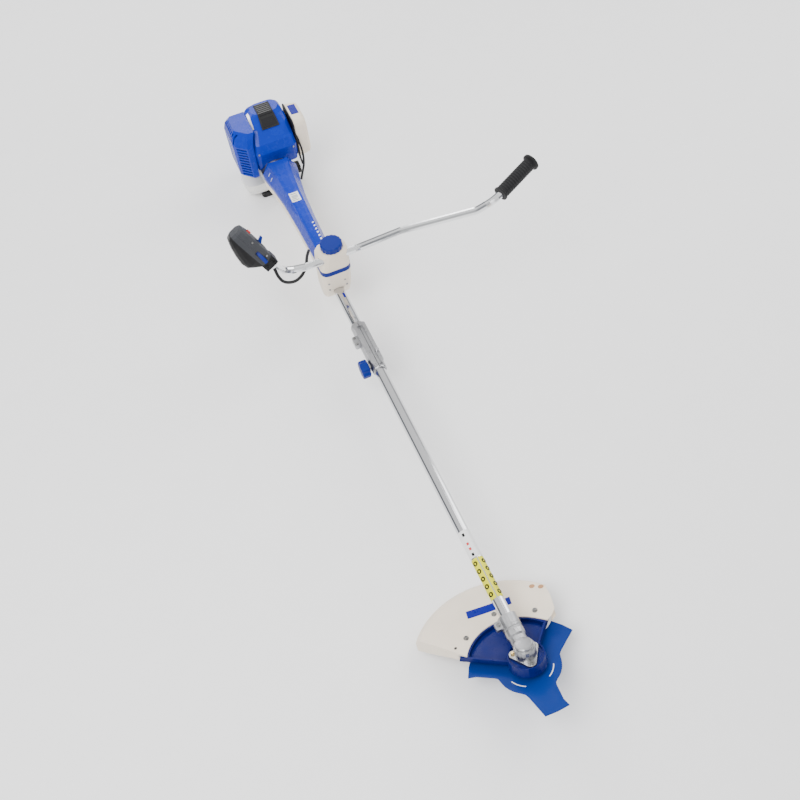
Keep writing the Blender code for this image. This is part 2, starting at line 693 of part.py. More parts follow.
def left_grip(bar_unit):
    zero = Vector((0, BAR_Y, BAR_Z))
    bore = BAR_R + GAP
    outer = [(0.0185, 0.0), (0.0185, 0.0040), (0.0160, 0.0055), (0.0160, 0.1090),
             (0.0215, 0.1110), (0.0215, 0.1165), (0.0170, 0.1190)]
    grip = solid("left_grip", turned(outer, 24), "rubber", bar_unit, at=GRIP_FOOT - zero,
                 turn=towards(GRIP_AXIS))
    cut(grip, cylinder(bore, -0.0100, 0.1130, 24), at=GRIP_FOOT - zero, turn=towards(GRIP_AXIS))


def throttle_frame(bar_unit):
    """Local axes of the throttle: Z along it, X towards the machine's middle, Y rearward."""
    zero = Vector((0, BAR_Y, BAR_Z))
    along = THROTTLE_AXIS
    inward = (Vector((1, 0, 0)) - along * along.x).normalized()
    rear = along.cross(inward)
    turn = Matrix((inward, rear, along)).transposed().to_euler()
    return empty("throttle_axes", bar_unit, THROTTLE_FOOT - zero, turn)


TRIGGER_Z = 0.0340
LOCKOUT_Z = 0.0620


THROTTLE_STATIONS = (                  # height, inner reach, outer reach, half depth, radius
    (0.0000, 0.0165, 0.0165, 0.0175, 0.010), (0.0200, 0.0170, 0.0200, 0.0185, 0.010),
    (0.0340, 0.0180, 0.0360, 0.0210, 0.013), (0.0450, 0.0200, 0.0460, 0.0240, 0.016),
    (0.0600, 0.0205, 0.0480, 0.0255, 0.018), (0.0850, 0.0210, 0.0430, 0.0265, 0.018),
    (0.1100, 0.0205, 0.0350, 0.0260, 0.016), (0.1260, 0.0180, 0.0270, 0.0220, 0.013),
    (0.1310, 0.0120, 0.0180, 0.0150, 0.009),
)


def throttle_body(section_side):
    """Rings of one half of the grip; side +1 is the inner half, -1 the outer half."""
    rings = []
    for height, inner_x, outer_x, half_y, radius in THROTTLE_STATIONS:
        half_x = inner_x if section_side > 0 else outer_x
        outline = rounded_rect(half_x, half_y, radius, 3)
        half = [(max(x * section_side, 0.5 * GAP) * section_side, y) for x, y in outline]
        keep = [p for p in half if abs(p[0]) > 0.6 * GAP]
        top = max(p[1] for p in keep)
        keep.sort(key=lambda p: math.atan2(p[1], p[0] * section_side))
        edge = 0.5 * GAP * section_side
        rings.append([(edge, -top, height)] + [(x, y, height) for x, y in keep]
                     + [(edge, top, height)])
    return loft(rings)


def throttle(axes):
    for name, side, finish in (("throttle_shell_outer", -1, "rubber"),
                               ("throttle_shell_inner", 1, "grey_plastic")):
        shell = solid(name, throttle_body(side), finish, axes)
        cut(shell, cylinder(BAR_R + GAP, -0.0100, 0.0480, 24))
        cut(shell, prism(rect(-0.0048, 0.0048, -0.0400, -0.0130), TRIGGER_Z - 0.0090,
                         TRIGGER_Z + 0.0290))
        cut(shell, prism(rect(0.0070, 0.0400, -0.0050, 0.0050), LOCKOUT_Z - 0.0090,
                         LOCKOUT_Z + 0.0180))
        cut(shell, prism(rect(0.0080, 0.0400, -0.0062, 0.0062), 0.0980, 0.1130))


def throttle_controls(axes):
    """Trigger under the grip, lockout lever and stop switch on its inner face."""
    trigger_pivot = empty("trigger_axis", axes, (0, -0.0170, TRIGGER_Z + 0.0240))
    blade_like = [(-0.0180, -0.0290), (-0.0150, -0.0300), (-0.0040, -0.0240), (0.0030, -0.0040),
                  (0.0030, 0.0040), (-0.0020, 0.0030), (-0.0080, -0.0080)]
    shape = prism(blade_like, -0.0042, 0.0042)
    solid("throttle_trigger", shape, "blue_knob", trigger_pivot, turn=(math.pi / 2, 0, math.pi / 2))
    lever_pivot = empty("lockout_axis", axes, (0.0145, 0, LOCKOUT_Z))
    lever = [(-0.0035, -0.0040), (0.0035, -0.0040), (0.0200, 0.0080), (0.0180, 0.0130),
             (0.0020, 0.0060), (-0.0035, 0.0050)]
    solid("lockout_lever", prism(lever, -0.0044, 0.0044), "blue_knob", lever_pivot,
          turn=(math.pi / 2, 0, 0))
    switch = prism(rect(0.0084, 0.0240, -0.0056, 0.0056, 0.0020), 0.0995, 0.1075)
    solid("stop_switch", switch, "red_plastic", axes)


CABLE_KNOTS = (
    (-0.1510, 1.0630, 0.1890), (-0.1480, 1.0540, 0.1680), (-0.1400, 1.0520, 0.1480),
    (-0.1250, 1.0590, 0.1290), (-0.1040, 1.0740, 0.1110), (-0.0800, 1.1020, 0.0960),
    (-0.0610, 1.1380, 0.0860), (-0.0470, 1.1760, 0.0740), (-0.0350, 1.2060, 0.0600),
)


def throttle_cable(machine):
    round_bar("throttle_cable", smooth_route(CABLE_KNOTS, 20), 0.0042, "rubber", machine, 2)


# ---- anti-vibration arm ------------------------------------------------------------------
ARM_STATIONS = ((ARM_START, 0.0250, 0.0580), (1.2200, 0.0260, 0.0600), (1.3400, 0.0290, 0.0620),
                (1.4400, 0.0340, 0.0650), (1.5100, 0.0420, 0.0690), (1.5500, 0.0490, 0.0720),
                (ARM_END, 0.0510, 0.0730))


def arm_upper_ring(y, half, top, inset, low):
    ridge = 0.55 * half
    side = half - inset
    crown = top - inset
    shoulder = ARM_SPLIT + 0.30 * (top - ARM_SPLIT)
    return [(side, y, low), (side, y, shoulder), (ridge, y, crown), (0.5 * ridge, y, crown - 0.002),
            (-0.5 * ridge, y, crown - 0.002), (-ridge, y, crown), (-side, y, shoulder),
            (-side, y, low)]


def arm(machine):
    outer = [arm_upper_ring(y, half, top, 0.0, ARM_SPLIT + GAP) for y, half, top in ARM_STATIONS]
    upper = solid("arm_upper_shell", loft(outer), "blue_plastic", machine, crease=20.0)
    inner = [arm_upper_ring(y, half, top, 0.0028, 0.0) for y, half, top in ARM_STATIONS]
    first, last = inner[0], inner[-1]
    inner[0] = [(x, y + 0.0030, z) for x, y, z in first]
    inner[-1] = [(x, y - 0.0030, z) for x, y, z in last]
    cut(upper, loft(inner))
    cable_hole = Vector((-0.0400, 1.1975, 0.0650))
    cut(upper, cylinder(0.0050, -0.0300, 0.0300, SMALL_ROUND), at=cable_hole,
        turn=towards((0.50, 0.68, -0.53)))
    lower_rings = []
    for y, half, _ in ARM_STATIONS:
        lower_rings.append([(half, y, ARM_SPLIT), (-half, y, ARM_SPLIT), (-half, y, 0.0),
                            (-0.75 * half, y, -0.0220), (-0.45 * half, y, -0.0300),
                            (0.45 * half, y, -0.0300), (0.75 * half, y, -0.0220), (half, y, 0.0)])
    lower = solid("arm_lower_shell", loft(lower_rings), "cream_plastic", machine)
    cut(lower, cylinder(SOCKET_R, 1.1, 1.6), turn=ALONG_Y)


# ---- engine --------------------------------------------------------------------------------
CLUTCH_PLATE_Y = 1.5900
CRANK_THROW = 0.0140
ROD_LENGTH = 0.0500
BORE_R = 0.0203
FIN_R = 0.0400
CYLINDER_Y = 1.6580
CRANKCASE_Y = (1.6190, 1.6990)


def clutch(machine, upper_drive, rotor):
    housing = turned([(0.0240, 1.5725), (0.0240, 1.5760), (0.0440, 1.5850), (0.0460, 1.5900),
                      (0.0500, 1.6050), (0.0500, 1.6185)])
    part = solid("clutch_housing", housing, "cast_aluminium", machine, turn=ALONG_Y)
    cut(part, cylinder(SOCKET_R, 1.5, 1.5820), turn=ALONG_Y)
    cut(part, turned([(0.0100, 1.5800), (0.0100, 1.5865), (0.0400, 1.5875), (0.0415, 1.7000)]),
        turn=ALONG_Y)
    drum = turned_ring([(SHAFT_R + GAP, CLUTCH_PLATE_Y), (0.0380, CLUTCH_PLATE_Y),
                        (0.0380, 1.6120), (0.0362, 1.6120), (0.0362, CLUTCH_PLATE_Y + 0.0018),
                        (SHAFT_R + GAP, CLUTCH_PLATE_Y + 0.0018)])
    solid("clutch_drum", drum, "steel", upper_drive)
    shoes = [(0.0335, 1.5985), (0.0335, 1.6105)]
    solid("clutch_shoes", turned_ring([(0.0063, 1.5985), shoes[0], shoes[1], (0.0063, 1.6105)]),
          "steel", rotor)


def crankcase(machine):
    start, end = CRANKCASE_Y
    block = prism(rect(-0.0400, 0.0400, -0.0460, 0.0440, 0.0180, 4), start, end)
    vertices, faces = block
    part = solid("crankcase", ([Vector((v.x, v.z, v.y)) for v in vertices], faces),
                 "cast_aluminium", machine)
    cut(part, cylinder(0.0300, 1.6350, 1.6820), turn=ALONG_Y)
    cut(part, cylinder(0.0063, 1.5, 1.8, SMALL_ROUND), turn=ALONG_Y)
    cut(part, cylinder(BORE_R, 0.0, 0.0800), at=(0, CYLINDER_Y, 0))


def crank_train(machine, rotor):
    """Two crank halves turn with the clutch shoes and flywheel; rod and piston stand at the top."""
    front = turned([(0.0060, 1.5960), (0.0060, 1.6380), (0.0270, 1.6381), (0.0270, 1.6490)])
    solid("crank_front", front, "steel", rotor)
    rear = turned([(0.0270, 1.6670), (0.0270, 1.6779), (0.0060, 1.6780), (0.0060, 1.7350)])
    solid("crank_rear", rear, "steel", rotor)
    wrist = CRANK_THROW + ROD_LENGTH
    rod = solid("connecting_rod", cylinder(0.0050, 1.6493, 1.6667, SMALL_ROUND), "steel", machine,
                turn=ALONG_Y, at=(0, 0, CRANK_THROW))
    join(rod, cylinder(0.0095, 1.6530, 1.6630, SMALL_ROUND), turn=ALONG_Y, at=(0, 0, CRANK_THROW))
    join(rod, prism(rect(-0.0035, 0.0035, 1.6545, 1.6615), CRANK_THROW, wrist))
    join(rod, cylinder(0.0075, 1.6530, 1.6630, SMALL_ROUND), turn=ALONG_Y, at=(0, 0, wrist))
    crown = solid("piston", cylinder(BORE_R - GAP, wrist - 0.0120, wrist + 0.0180), "cast_aluminium",
                  machine, at=(0, CYLINDER_Y, 0))
    cut(crown, cylinder(0.0165, wrist - 0.0300, wrist + 0.0130), at=(0, CYLINDER_Y, 0))


def cylinder_head(machine):
    """A finned cylinder, closed at the top but for the plug's hole."""
    low = 0.0443
    profile = [(0.0300, low), (0.0300, low + 0.0050)]
    fin_count = 6
    for fin in range(fin_count):
        height = 0.0520 + 0.0100 * fin
        profile += [(0.0270, height), (FIN_R, height), (FIN_R, height + 0.0022),
                    (0.0270, height + 0.0022)]
    profile += [(0.0200, 0.1080)]
    part = solid("cylinder", turned(profile, 20), "cast_iron", machine, at=(0, CYLINDER_Y, 0))
    cut(part, cylinder(BORE_R, 0.0, 0.0900), at=(0, CYLINDER_Y, 0))
    cut(part, cylinder(0.0052, 0.0800, 0.2000, SMALL_ROUND), at=(0, CYLINDER_Y, 0))
    plug = turned([(0.0049, 0.0920), (0.0049, 0.1083), (0.0095, 0.1084), (0.0095, 0.1160),
                   (0.0050, 0.1170), (0.0045, 0.1350), (0.0028, 0.1360), (0.0028, 0.1400)],
                  SMALL_ROUND)
    solid("spark_plug", plug, "ceramic", machine, at=(0, CYLINDER_Y, 0))
    boot = solid("plug_boot", turned([(0.0085, 0.1220), (0.0085, 0.1420), (0.0060, 0.1470)],
                                     SMALL_ROUND), "rubber", machine, at=(0, CYLINDER_Y, 0))
    cut(boot, cylinder(0.0053, 0.1000, 0.1410, SMALL_ROUND), at=(0, CYLINDER_Y, 0))


COVER_LEVELS = (                       # height, x0, x1, front y, back y, corner radius
    (0.0200, -0.0520, 0.0700, 1.6120, 1.7330, 0.0120),
    (0.0500, -0.0560, 0.0740, 1.6020, 1.7350, 0.0160),
    (0.0850, -0.0560, 0.0740, 1.5950, 1.7360, 0.0180),
    (0.1120, -0.0540, 0.0720, 1.6030, 1.7360, 0.0200),
    (0.1420, -0.0460, 0.0690, 1.6340, 1.7340, 0.0220),
    (0.1560, -0.0360, 0.0650, 1.6560, 1.7300, 0.0240),
    (0.1630, -0.0220, 0.0590, 1.6720, 1.7240, 0.0220),
)
COVER_WALL = 0.0025
COVER_WIDEST_Z = 0.0850
EXHAUST_PORT = (0, CYLINDER_Y + 0.0040, 0.0700)
CARBURETTOR_BOX = (0.0435, 0.0742, 1.6380, 1.6800)
CARBURETTOR_Z = (0.0120, 0.0900)
SIDE_OPENING = 0.0030                  # room round the carburettor in the cover's side


def cover_rings(inset, lift):
    rings = []
    for height, x0, x1, y0, y1, radius in COVER_LEVELS:
        outline = rect(x0 + inset, x1 - inset, y0 + inset, y1 - inset, radius - inset / 2, 3)
        rings.append(ring_at(outline, height - lift))
    return rings


def engine_cover(machine):
    part = solid("engine_cover", loft(cover_rings(0.0, 0.0)), "blue_plastic", machine)
    inner = cover_rings(COVER_WALL, COVER_WALL)
    floor = [(x, y, 0.0) for x, y, _ in inner[0]]
    cut(part, loft([floor] + inner))
    cut(part, cylinder(0.0505, 1.5, 1.6190), turn=ALONG_Y)
    cut(part, cylinder(FAN_R + 0.0010, 1.6990, 1.8), turn=ALONG_Y)
    cut(part, cylinder(0.0125, -0.0700, -0.0450, SMALL_ROUND), turn=ALONG_X, at=EXHAUST_PORT)
    _, _, y0, y1 = CARBURETTOR_BOX
    cut(part, prism(rect(0.0600, 0.0900, y0 - SIDE_OPENING, y1 + SIDE_OPENING), 0.0,
                    CARBURETTOR_Z[1] + SIDE_OPENING))


LEFT_SIDE = 1                          # places of these values in a row of COVER_LEVELS
FRONT_SIDE = 3


def cover_side(height, side):
    """Where one side of the cover stands at a height."""
    if height <= COVER_LEVELS[0][0]:
        return COVER_LEVELS[0][side]
    for low, high in zip(COVER_LEVELS, COVER_LEVELS[1:]):
        if height <= high[0]:
            share = (height - low[0]) / (high[0] - low[0])
            return low[side] + (high[side] - low[side]) * share
    return COVER_LEVELS[-1][side]


INSERT_X = 0.0155
INSERT_THICKNESS = 0.0024
INSERT_ROWS = ((0.1390, 0.0260), (0.1420, 0.0260), (0.1560, 0.0245), (0.1630, 0.0230))


def insert_row(y, height, half):
    """One cross-section of the insert, set off the cover along the slope's upward normal."""
    out = INSERT_THICKNESS
    return [(INSERT_X + half, y - GAP, height + GAP), (INSERT_X - half, y - GAP, height + GAP),
            (INSERT_X - half, y - out, height + out), (INSERT_X + half, y - out, height + out)]


def top_insert(machine):
    """A black grille plate that lies on the cover's sloping front and crown."""
    rings = [insert_row(cover_side(height, FRONT_SIDE), height, half) for height, half in INSERT_ROWS]
    crown, half = INSERT_ROWS[-1]
    front = COVER_LEVELS[-1][3]
    back = COVER_LEVELS[-1][4]
    rings.append(insert_row(front + 0.0120, crown, half))
    rings.append(insert_row(back - 0.0080, crown, half))
    solid("top_insert", loft(rings), "black_plastic", machine)


FOLLOW_REACH = 0.0180                  # the guard's open side leans in with the cover so far
GUARD_BOX = {"x0": -0.1040, "x1": -0.0563, "y0": 1.6000, "y1": 1.7320}


def muffler_outline(inset, open_side):
    x0 = GUARD_BOX["x0"] + inset
    x1 = GUARD_BOX["x1"] + open_side
    y0 = GUARD_BOX["y0"] + inset
    y1 = GUARD_BOX["y1"] - inset
    return [(x1, y1), (x0 + 0.008, y1), (x0, y1 - 0.010), (x0, y0 + 0.036),
            (x0 + 0.006, y0 + 0.026), (x1 - open_side - 0.016 + 0.4 * inset, y0), (x1, y0)]


def muffler_side(machine):
    """The exhaust silencer inside a guard with a chamfered front corner."""
    levels = ((0.0040, 0.0080), (0.0140, 0.0), (0.1190, 0.0), (0.1420, 0.0060), (0.1560, 0.0160))
    widest = GUARD_BOX["x1"] + GAP

    def rings(inset, open_side):
        made = []
        for height, draw in levels:
            outline = muffler_outline(inset, open_side)
            ring = []
            for x, y in outline:
                share = (GUARD_BOX["x1"] - x) / (GUARD_BOX["x1"] - GUARD_BOX["x0"])
                middle = (GUARD_BOX["y0"] + GUARD_BOX["y1"]) / 2
                slide = -draw if y > middle else draw
                recede = cover_side(max(height, COVER_WIDEST_Z), LEFT_SIDE) - widest
                follow = min(recede, FOLLOW_REACH) * max(1.0 - share, 0.0)
                ring.append((x + draw * max(share, 0.0) + follow, y + slide, height))
            made.append(ring)
        return made

    shell = solid("muffler_guard", loft(rings(0.0, 0.0)), "blue_plastic", machine, crease=20.0)
    inner = rings(0.0025, 0.0100)
    inner[0] = [(x, y, z + 0.0025) for x, y, z in inner[0]]
    inner[-1] = [(x, y, z - 0.0025) for x, y, z in inner[-1]]
    cut(shell, loft(inner))
    body = loft([ring_at(rect(-0.0970, -0.0620, 1.6420, 1.7180, 0.0120), height)
                 for height in (0.0150, 0.0950)])
    silencer = solid("muffler", body, "cast_iron", machine)
    join(silencer, cylinder(0.0100, -0.0700, -0.0412, SMALL_ROUND), turn=ALONG_X,
         at=EXHAUST_PORT)


FILTER_Z = (0.0160, 0.1500)
FILTER_Y = (1.6080, 1.7120)
FILTER_SPLIT_X = 0.0778                # where the filter's base plate ends and its cover starts


def intake_side(machine):
    """Carburettor, air filter box, choke and primer on the operator's left."""
    carb = loft([ring_at(rect(*CARBURETTOR_BOX, 0.0060), height) for height in CARBURETTOR_Z])
    body = solid("carburettor", carb, "cast_aluminium", machine)
    cut(body, cylinder(0.0080, 0.0, 0.2, SMALL_ROUND), turn=ALONG_X,
        at=(0, CYLINDER_Y, 0.0690))
    low, high = -FILTER_Z[0], -FILTER_Z[1]
    front, back = FILTER_Y
    plate = prism(rect(high, low, front, back, 0.0160), 0.0745, FILTER_SPLIT_X)
    base = solid("air_filter_base", plate, "black_plastic", machine, turn=ALONG_X)
    cut(base, cylinder(0.0080, 0.0, 0.2, SMALL_ROUND), turn=ALONG_X, at=(0, CYLINDER_Y, 0.0690))
    outer = []
    for reach, inset in ((FILTER_SPLIT_X + GAP, 0.0020), (0.1080, 0.0040), (0.1140, 0.0090),
                         (0.1170, 0.0190)):
        outer.append(ring_at(rect(high + inset, low - inset, front + inset, back - inset, 0.0180),
                             reach))
    cover = solid("air_filter_cover", loft(outer), "cream_plastic", machine, turn=ALONG_X)
    inner = []
    for reach, inset in ((0.0700, 0.0045), (0.1050, 0.0066), (0.1140, 0.0210)):
        inner.append(ring_at(rect(high + inset, low - inset, front + inset, back - inset, 0.0140),
                             reach))
    cut(cover, loft(inner), turn=ALONG_X)
    pivot = empty("choke_axis", machine, (0.0785, 1.6290, 0.0105), (0, math.pi / 2, 0))
    lever = [(0.0, -0.0030), (0.0060, -0.0030), (0.0200, -0.0170), (0.0230, -0.0140),
             (0.0070, 0.0040), (0.0, 0.0040)]
    solid("choke_lever", prism([(x - 0.0030, y) for x, y in lever], -0.0025, 0.0025),
          "black_plastic", pivot)
    bulb_at = (0.0590, 1.6590, CARBURETTOR_Z[0] + GAP)
    cut(body, cylinder(0.0095, -0.0100, 0.0042, SMALL_ROUND), at=(0.0590, 1.6590, CARBURETTOR_Z[0]))
    bulb_axis = empty("primer_axis", machine, bulb_at, (math.pi, 0, 0))
    bulb = turned([(0.0090, 0.0), (0.0088, 0.0040), (0.0070, 0.0085), (0.0035, 0.0110)],
                  SMALL_ROUND)
    solid("primer_bulb", bulb, "tank_plastic", bulb_axis)


FLOOR_Z = -0.1152                      # the floor in machine coordinates
TANK_Z = (-0.0985, -0.0600)
SADDLE_TOP = -0.0463                   # a pad on the tank meets the crankcase here


def fuel_side(machine):
    low, high = TANK_Z
    levels = ((low, -0.0820, 0.0480, 1.6560, 1.7280, 0.0200),
              (low + 0.0100, -0.0960, 0.0570, 1.6480, 1.7350, 0.0240),
              (low + 0.0240, -0.1000, 0.0600, 1.6460, 1.7365, 0.0240),
              (high, -0.0980, 0.0580, 1.6480, 1.7350, 0.0220))
    wall = 0.0024
    outer = [ring_at(rect(x0, x1, y0, y1, radius), z) for z, x0, x1, y0, y1, radius in levels]
    tank = solid("fuel_tank", loft(outer), "tank_plastic", machine)
    join(tank, prism(rect(-0.0300, 0.0300, 1.6520, 1.6900, 0.0060), high - 0.0020, SADDLE_TOP))
    neck_at = (0, 1.6900, -0.0790)
    join(tank, cylinder(0.0130, 0.0450, 0.0720, 20), turn=ALONG_X, at=neck_at)
    inner = [ring_at(rect(x0 + wall, x1 - wall, y0 + wall, y1 - wall, radius),
                     z + (wall if z == low else -wall if z == high else 0.0))
             for z, x0, x1, y0, y1, radius in levels]
    cut(tank, loft(inner))
    cut(tank, cylinder(0.0105, 0.0400, 0.0900, 20), turn=ALONG_X, at=neck_at)
    pivot = empty("fuel_cap_axis", machine, neck_at, ALONG_X)
    cap = solid("fuel_cap", lobed(0.0185, 0.0012, 12, 0.0625, 0.0820, 3), "black_plastic", pivot)
    cut(cap, cylinder(0.0133, 0.0500, 0.0725, 20))
    stand = solid("tank_stand", prism(rect(-0.0580, 0.0580, 1.6480, 1.7440, 0.0100), FLOOR_Z,
                                      low - GAP), "black_plastic", machine)
    cut(stand, prism(rect(-0.0300, 0.0300, 1.6740, 1.7200, 0.0080), -0.1400, -0.0900))


FAN_R = 0.0560
STARTER_Y = (1.7375, 1.7960)
PULLEY_R = 0.0280
ROPE_Z = 0.0315


def recoil_side(machine, rotor):
    start, end = STARTER_Y
    fan = turned_ring([(FAN_R - 0.0025, 1.6993), (FAN_R, 1.6993), (FAN_R, start - GAP),
                       (FAN_R - 0.0025, start - GAP)])
    solid("fan_housing", fan, "black_plastic", machine, turn=ALONG_Y)
    blades = 12
    wheel = solid("flywheel", turned([(0.0180, 1.7040), (0.0500, 1.7060), (0.0500, 1.7150),
                                      (0.0300, 1.7160), (0.0200, 1.7300)]), "cast_aluminium", rotor)
    for k in range(blades):
        angle = 2 * math.pi * k / blades
        fin = prism(rect(0.0180, 0.0490, -0.0012, 0.0012), 1.7140, 1.7280)
        join(wheel, fin, turn=(0, 0, angle))
    cut(wheel, cylinder(0.0060 + GAP, 1.6, 1.8, SMALL_ROUND))
    cup = turned([(0.0620, start), (0.0640, start + 0.0040), (0.0620, end - 0.0100),
                  (0.0540, end - 0.0020), (0.0480, end)])
    housing = solid("starter_housing", cup, "blue_plastic", machine, turn=ALONG_Y)
    cut(housing, turned([(0.0590, 1.7), (0.0600, start + 0.0040), (0.0590, end - 0.0110),
                         (0.0500, end - 0.0030)]), turn=ALONG_Y)
    join(housing, cylinder(0.0050, start + 0.0060, end - 0.0010, SMALL_ROUND), turn=ALONG_Y)
    cut(housing, cylinder(0.0040, 0.0400, 0.0900, SMALL_ROUND), turn=ALONG_X,
        at=(0, 1.7620, ROPE_Z))
    pulley_axis = empty("pulley_axis", machine, turn=ALONG_Y)
    pulley = turned_ring([(0.0053, 1.7530), (0.0300, 1.7530), (0.0300, 1.7560),
                          (PULLEY_R, 1.7580), (PULLEY_R, 1.7660), (0.0300, 1.7680),
                          (0.0300, 1.7710), (0.0053, 1.7710)])
    solid("starter_pulley", pulley, "black_plastic", pulley_axis)
    pull = solid("starter_handle", cylinder(0.0019, 0.0, 0.0700, 10), "black_plastic", machine,
                 turn=ALONG_X, at=(0, 1.7620, ROPE_Z))
    grip = prism(rect(0.0655, 0.0800, 1.7400, 1.7840, 0.0060), ROPE_Z - 0.0075, ROPE_Z + 0.0075)
    join(pull, grip)


# ---- build -----------------------------------------------------------------------------------
def main():
    for item in list(bpy.data.objects):
        bpy.data.objects.remove(item, do_unlink=True)
    machine = empty("machine", at=APEX)
    lower_unit = empty("lower_unit", machine)
    head = empty("head", lower_unit, turn=(-HEAD_TILT, 0, 0))
    spindle = empty("spindle", head)
    lower_drive = empty("lower_drive", lower_unit, turn=ALONG_Y)
    upper_drive = empty("upper_drive", machine, turn=ALONG_Y)
    rotor = empty("engine_rotor", machine, turn=ALONG_Y)
    bar_unit = empty("bar_unit", machine, (0, BAR_Y, BAR_Z))

    gearcase(lower_unit, head)
    gearcase_cap(head)
    grease_plug(head)
    output_shaft(spindle)
    bevel_pinion(lower_drive)
    blade(spindle)
    clamp_plates(spindle)
    guard_base(lower_unit, head)
    guard_skirt(head)

    tubes(machine, lower_unit)
    drive_shafts(lower_drive, upper_drive)
    coupling_sleeve(machine)
    coupling_knob(machine)
    coupling_pin(machine)

    bracket(machine)
    clamp_knob(machine)
    handlebar(bar_unit)
    left_grip(bar_unit)
    throttle_axes = throttle_frame(bar_unit)
    throttle(throttle_axes)
    throttle_controls(throttle_axes)
    throttle_cable(machine)
    arm(machine)

    clutch(machine, upper_drive, rotor)
    crankcase(machine)
    crank_train(machine, rotor)
    cylinder_head(machine)
    engine_cover(machine)
    top_insert(machine)
    muffler_side(machine)
    intake_side(machine)
    fuel_side(machine)
    recoil_side(machine, rotor)


main()
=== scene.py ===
"""Looks of the petrol brush cutter: camera, light, materials and fine detail on the CAD frame.

Metres, +Z up, in the CAD frame.  "Machine" coordinates have their zero at the gear apex, where
the blade's axis meets the drive tube's axis; +Y runs along the tube to the engine.  "Head"
coordinates share that zero and have +Z along the blade's axis and +Y rearward.  "Throttle"
coordinates start at the foot of the throttle grip, with +Z up the grip and +X along the
trigger's pivot.
"""
import json
import math

import bmesh
import bpy
from mathutils import Matrix, Vector
from mathutils.bvhtree import BVHTree


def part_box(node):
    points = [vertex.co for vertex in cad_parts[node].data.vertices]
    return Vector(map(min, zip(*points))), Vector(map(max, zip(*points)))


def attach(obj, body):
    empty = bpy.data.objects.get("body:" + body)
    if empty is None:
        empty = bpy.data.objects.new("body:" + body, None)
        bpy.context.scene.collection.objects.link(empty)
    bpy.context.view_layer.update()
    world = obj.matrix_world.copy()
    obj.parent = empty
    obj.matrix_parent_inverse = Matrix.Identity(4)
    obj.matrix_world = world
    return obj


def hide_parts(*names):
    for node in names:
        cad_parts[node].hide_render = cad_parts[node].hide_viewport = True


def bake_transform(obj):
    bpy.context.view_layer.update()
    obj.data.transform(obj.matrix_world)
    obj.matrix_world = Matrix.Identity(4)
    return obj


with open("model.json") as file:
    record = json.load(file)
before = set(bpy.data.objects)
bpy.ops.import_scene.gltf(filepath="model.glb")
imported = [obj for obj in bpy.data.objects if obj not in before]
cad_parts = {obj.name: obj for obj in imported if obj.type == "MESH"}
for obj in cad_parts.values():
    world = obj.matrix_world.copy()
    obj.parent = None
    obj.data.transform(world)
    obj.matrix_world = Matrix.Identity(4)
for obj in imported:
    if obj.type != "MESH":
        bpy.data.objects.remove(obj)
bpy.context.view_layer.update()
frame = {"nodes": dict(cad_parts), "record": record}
NODES = frame["nodes"]
JOINTS = {joint["name"]: joint for joint in frame["record"]["behaviour"]["joints"]}

APEX = Vector(JOINTS["blade_spin"]["pos_m"])
HEAD_AXIS = Vector(JOINTS["blade_spin"]["axis"]).normalized()
HEAD_X = Vector((1, 0, 0))
HEAD_TURN = Matrix((HEAD_X, HEAD_AXIS.cross(HEAD_X), HEAD_AXIS)).transposed()
HEAD = Matrix.Translation(APEX) @ HEAD_TURN.to_4x4()
MACHINE = Matrix.Translation(APEX)
THROTTLE_Z = Vector(JOINTS["stop_switch_slide"]["axis"]).normalized()
THROTTLE_X = Vector(JOINTS["trigger_squeeze"]["axis"]).normalized()
THROTTLE_Y = THROTTLE_Z.cross(THROTTLE_X)
THROTTLE_FOOT = Vector((-0.1520, 1.0800, 0.1900))      # in machine coordinates
THROTTLE = (Matrix.Translation(APEX + THROTTLE_FOOT)
            @ Matrix((THROTTLE_X, THROTTLE_Y, THROTTLE_Z)).transposed().to_4x4())
TUBE_R = 0.0140
DOWN = Vector((0, 0, -1))


# ---- materials -----------------------------------------------------------------------------
TONE_SCALE = 14.0                      # waves of tone per metre; gloss waves are finer
GLOSS_SHARE = 4.0
DUST_SCALE = 38.0
DUST_COLOUR = (0.42, 0.40, 0.36)
COAT_ROUGHNESS = 0.08
LEAST_ROUGHNESS = 0.03
GRAIN_DEPTH = 0.0004
LUMP_DEPTH = 0.0006
SCATTER = (0.010, 0.009, 0.008)        # how far light travels inside translucent plastic


def shader_of(name):
    made = bpy.data.materials.new(name)
    made.use_nodes = True
    tree = made.node_tree
    return made, tree, tree.nodes["Principled BSDF"]


def noise(tree, coords, scale, detail, roughness, stretch=(1, 1, 1)):
    mapping = tree.nodes.new("ShaderNodeMapping")
    mapping.inputs["Scale"].default_value = stretch
    tree.links.new(coords, mapping.inputs["Vector"])
    node = tree.nodes.new("ShaderNodeTexNoise")
    node.inputs["Scale"].default_value = scale
    node.inputs["Detail"].default_value = detail
    node.inputs["Roughness"].default_value = roughness
    tree.links.new(mapping.outputs["Vector"], node.inputs["Vector"])
    return node.outputs["Fac"]


def ranged(tree, value, low, high, from_low=0.3, from_high=0.7):
    node = tree.nodes.new("ShaderNodeMapRange")
    node.inputs["From Min"].default_value = from_low
    node.inputs["From Max"].default_value = from_high
    node.inputs["To Min"].default_value = low
    node.inputs["To Max"].default_value = high
    tree.links.new(value, node.inputs["Value"])
    return node.outputs["Result"]


def mixed(tree, factor, first, second):
    node = tree.nodes.new("ShaderNodeMix")
    node.data_type = 'RGBA'
    for socket, value in ((node.inputs[6], first), (node.inputs[7], second)):
        if isinstance(value, tuple):
            socket.default_value = (*value, 1.0)
        else:
            tree.links.new(value, socket)
    tree.links.new(factor, node.inputs[0])
    return node.outputs[2]


def scaled(colour, factor):
    return tuple(min(1.0, channel * factor) for channel in colour)


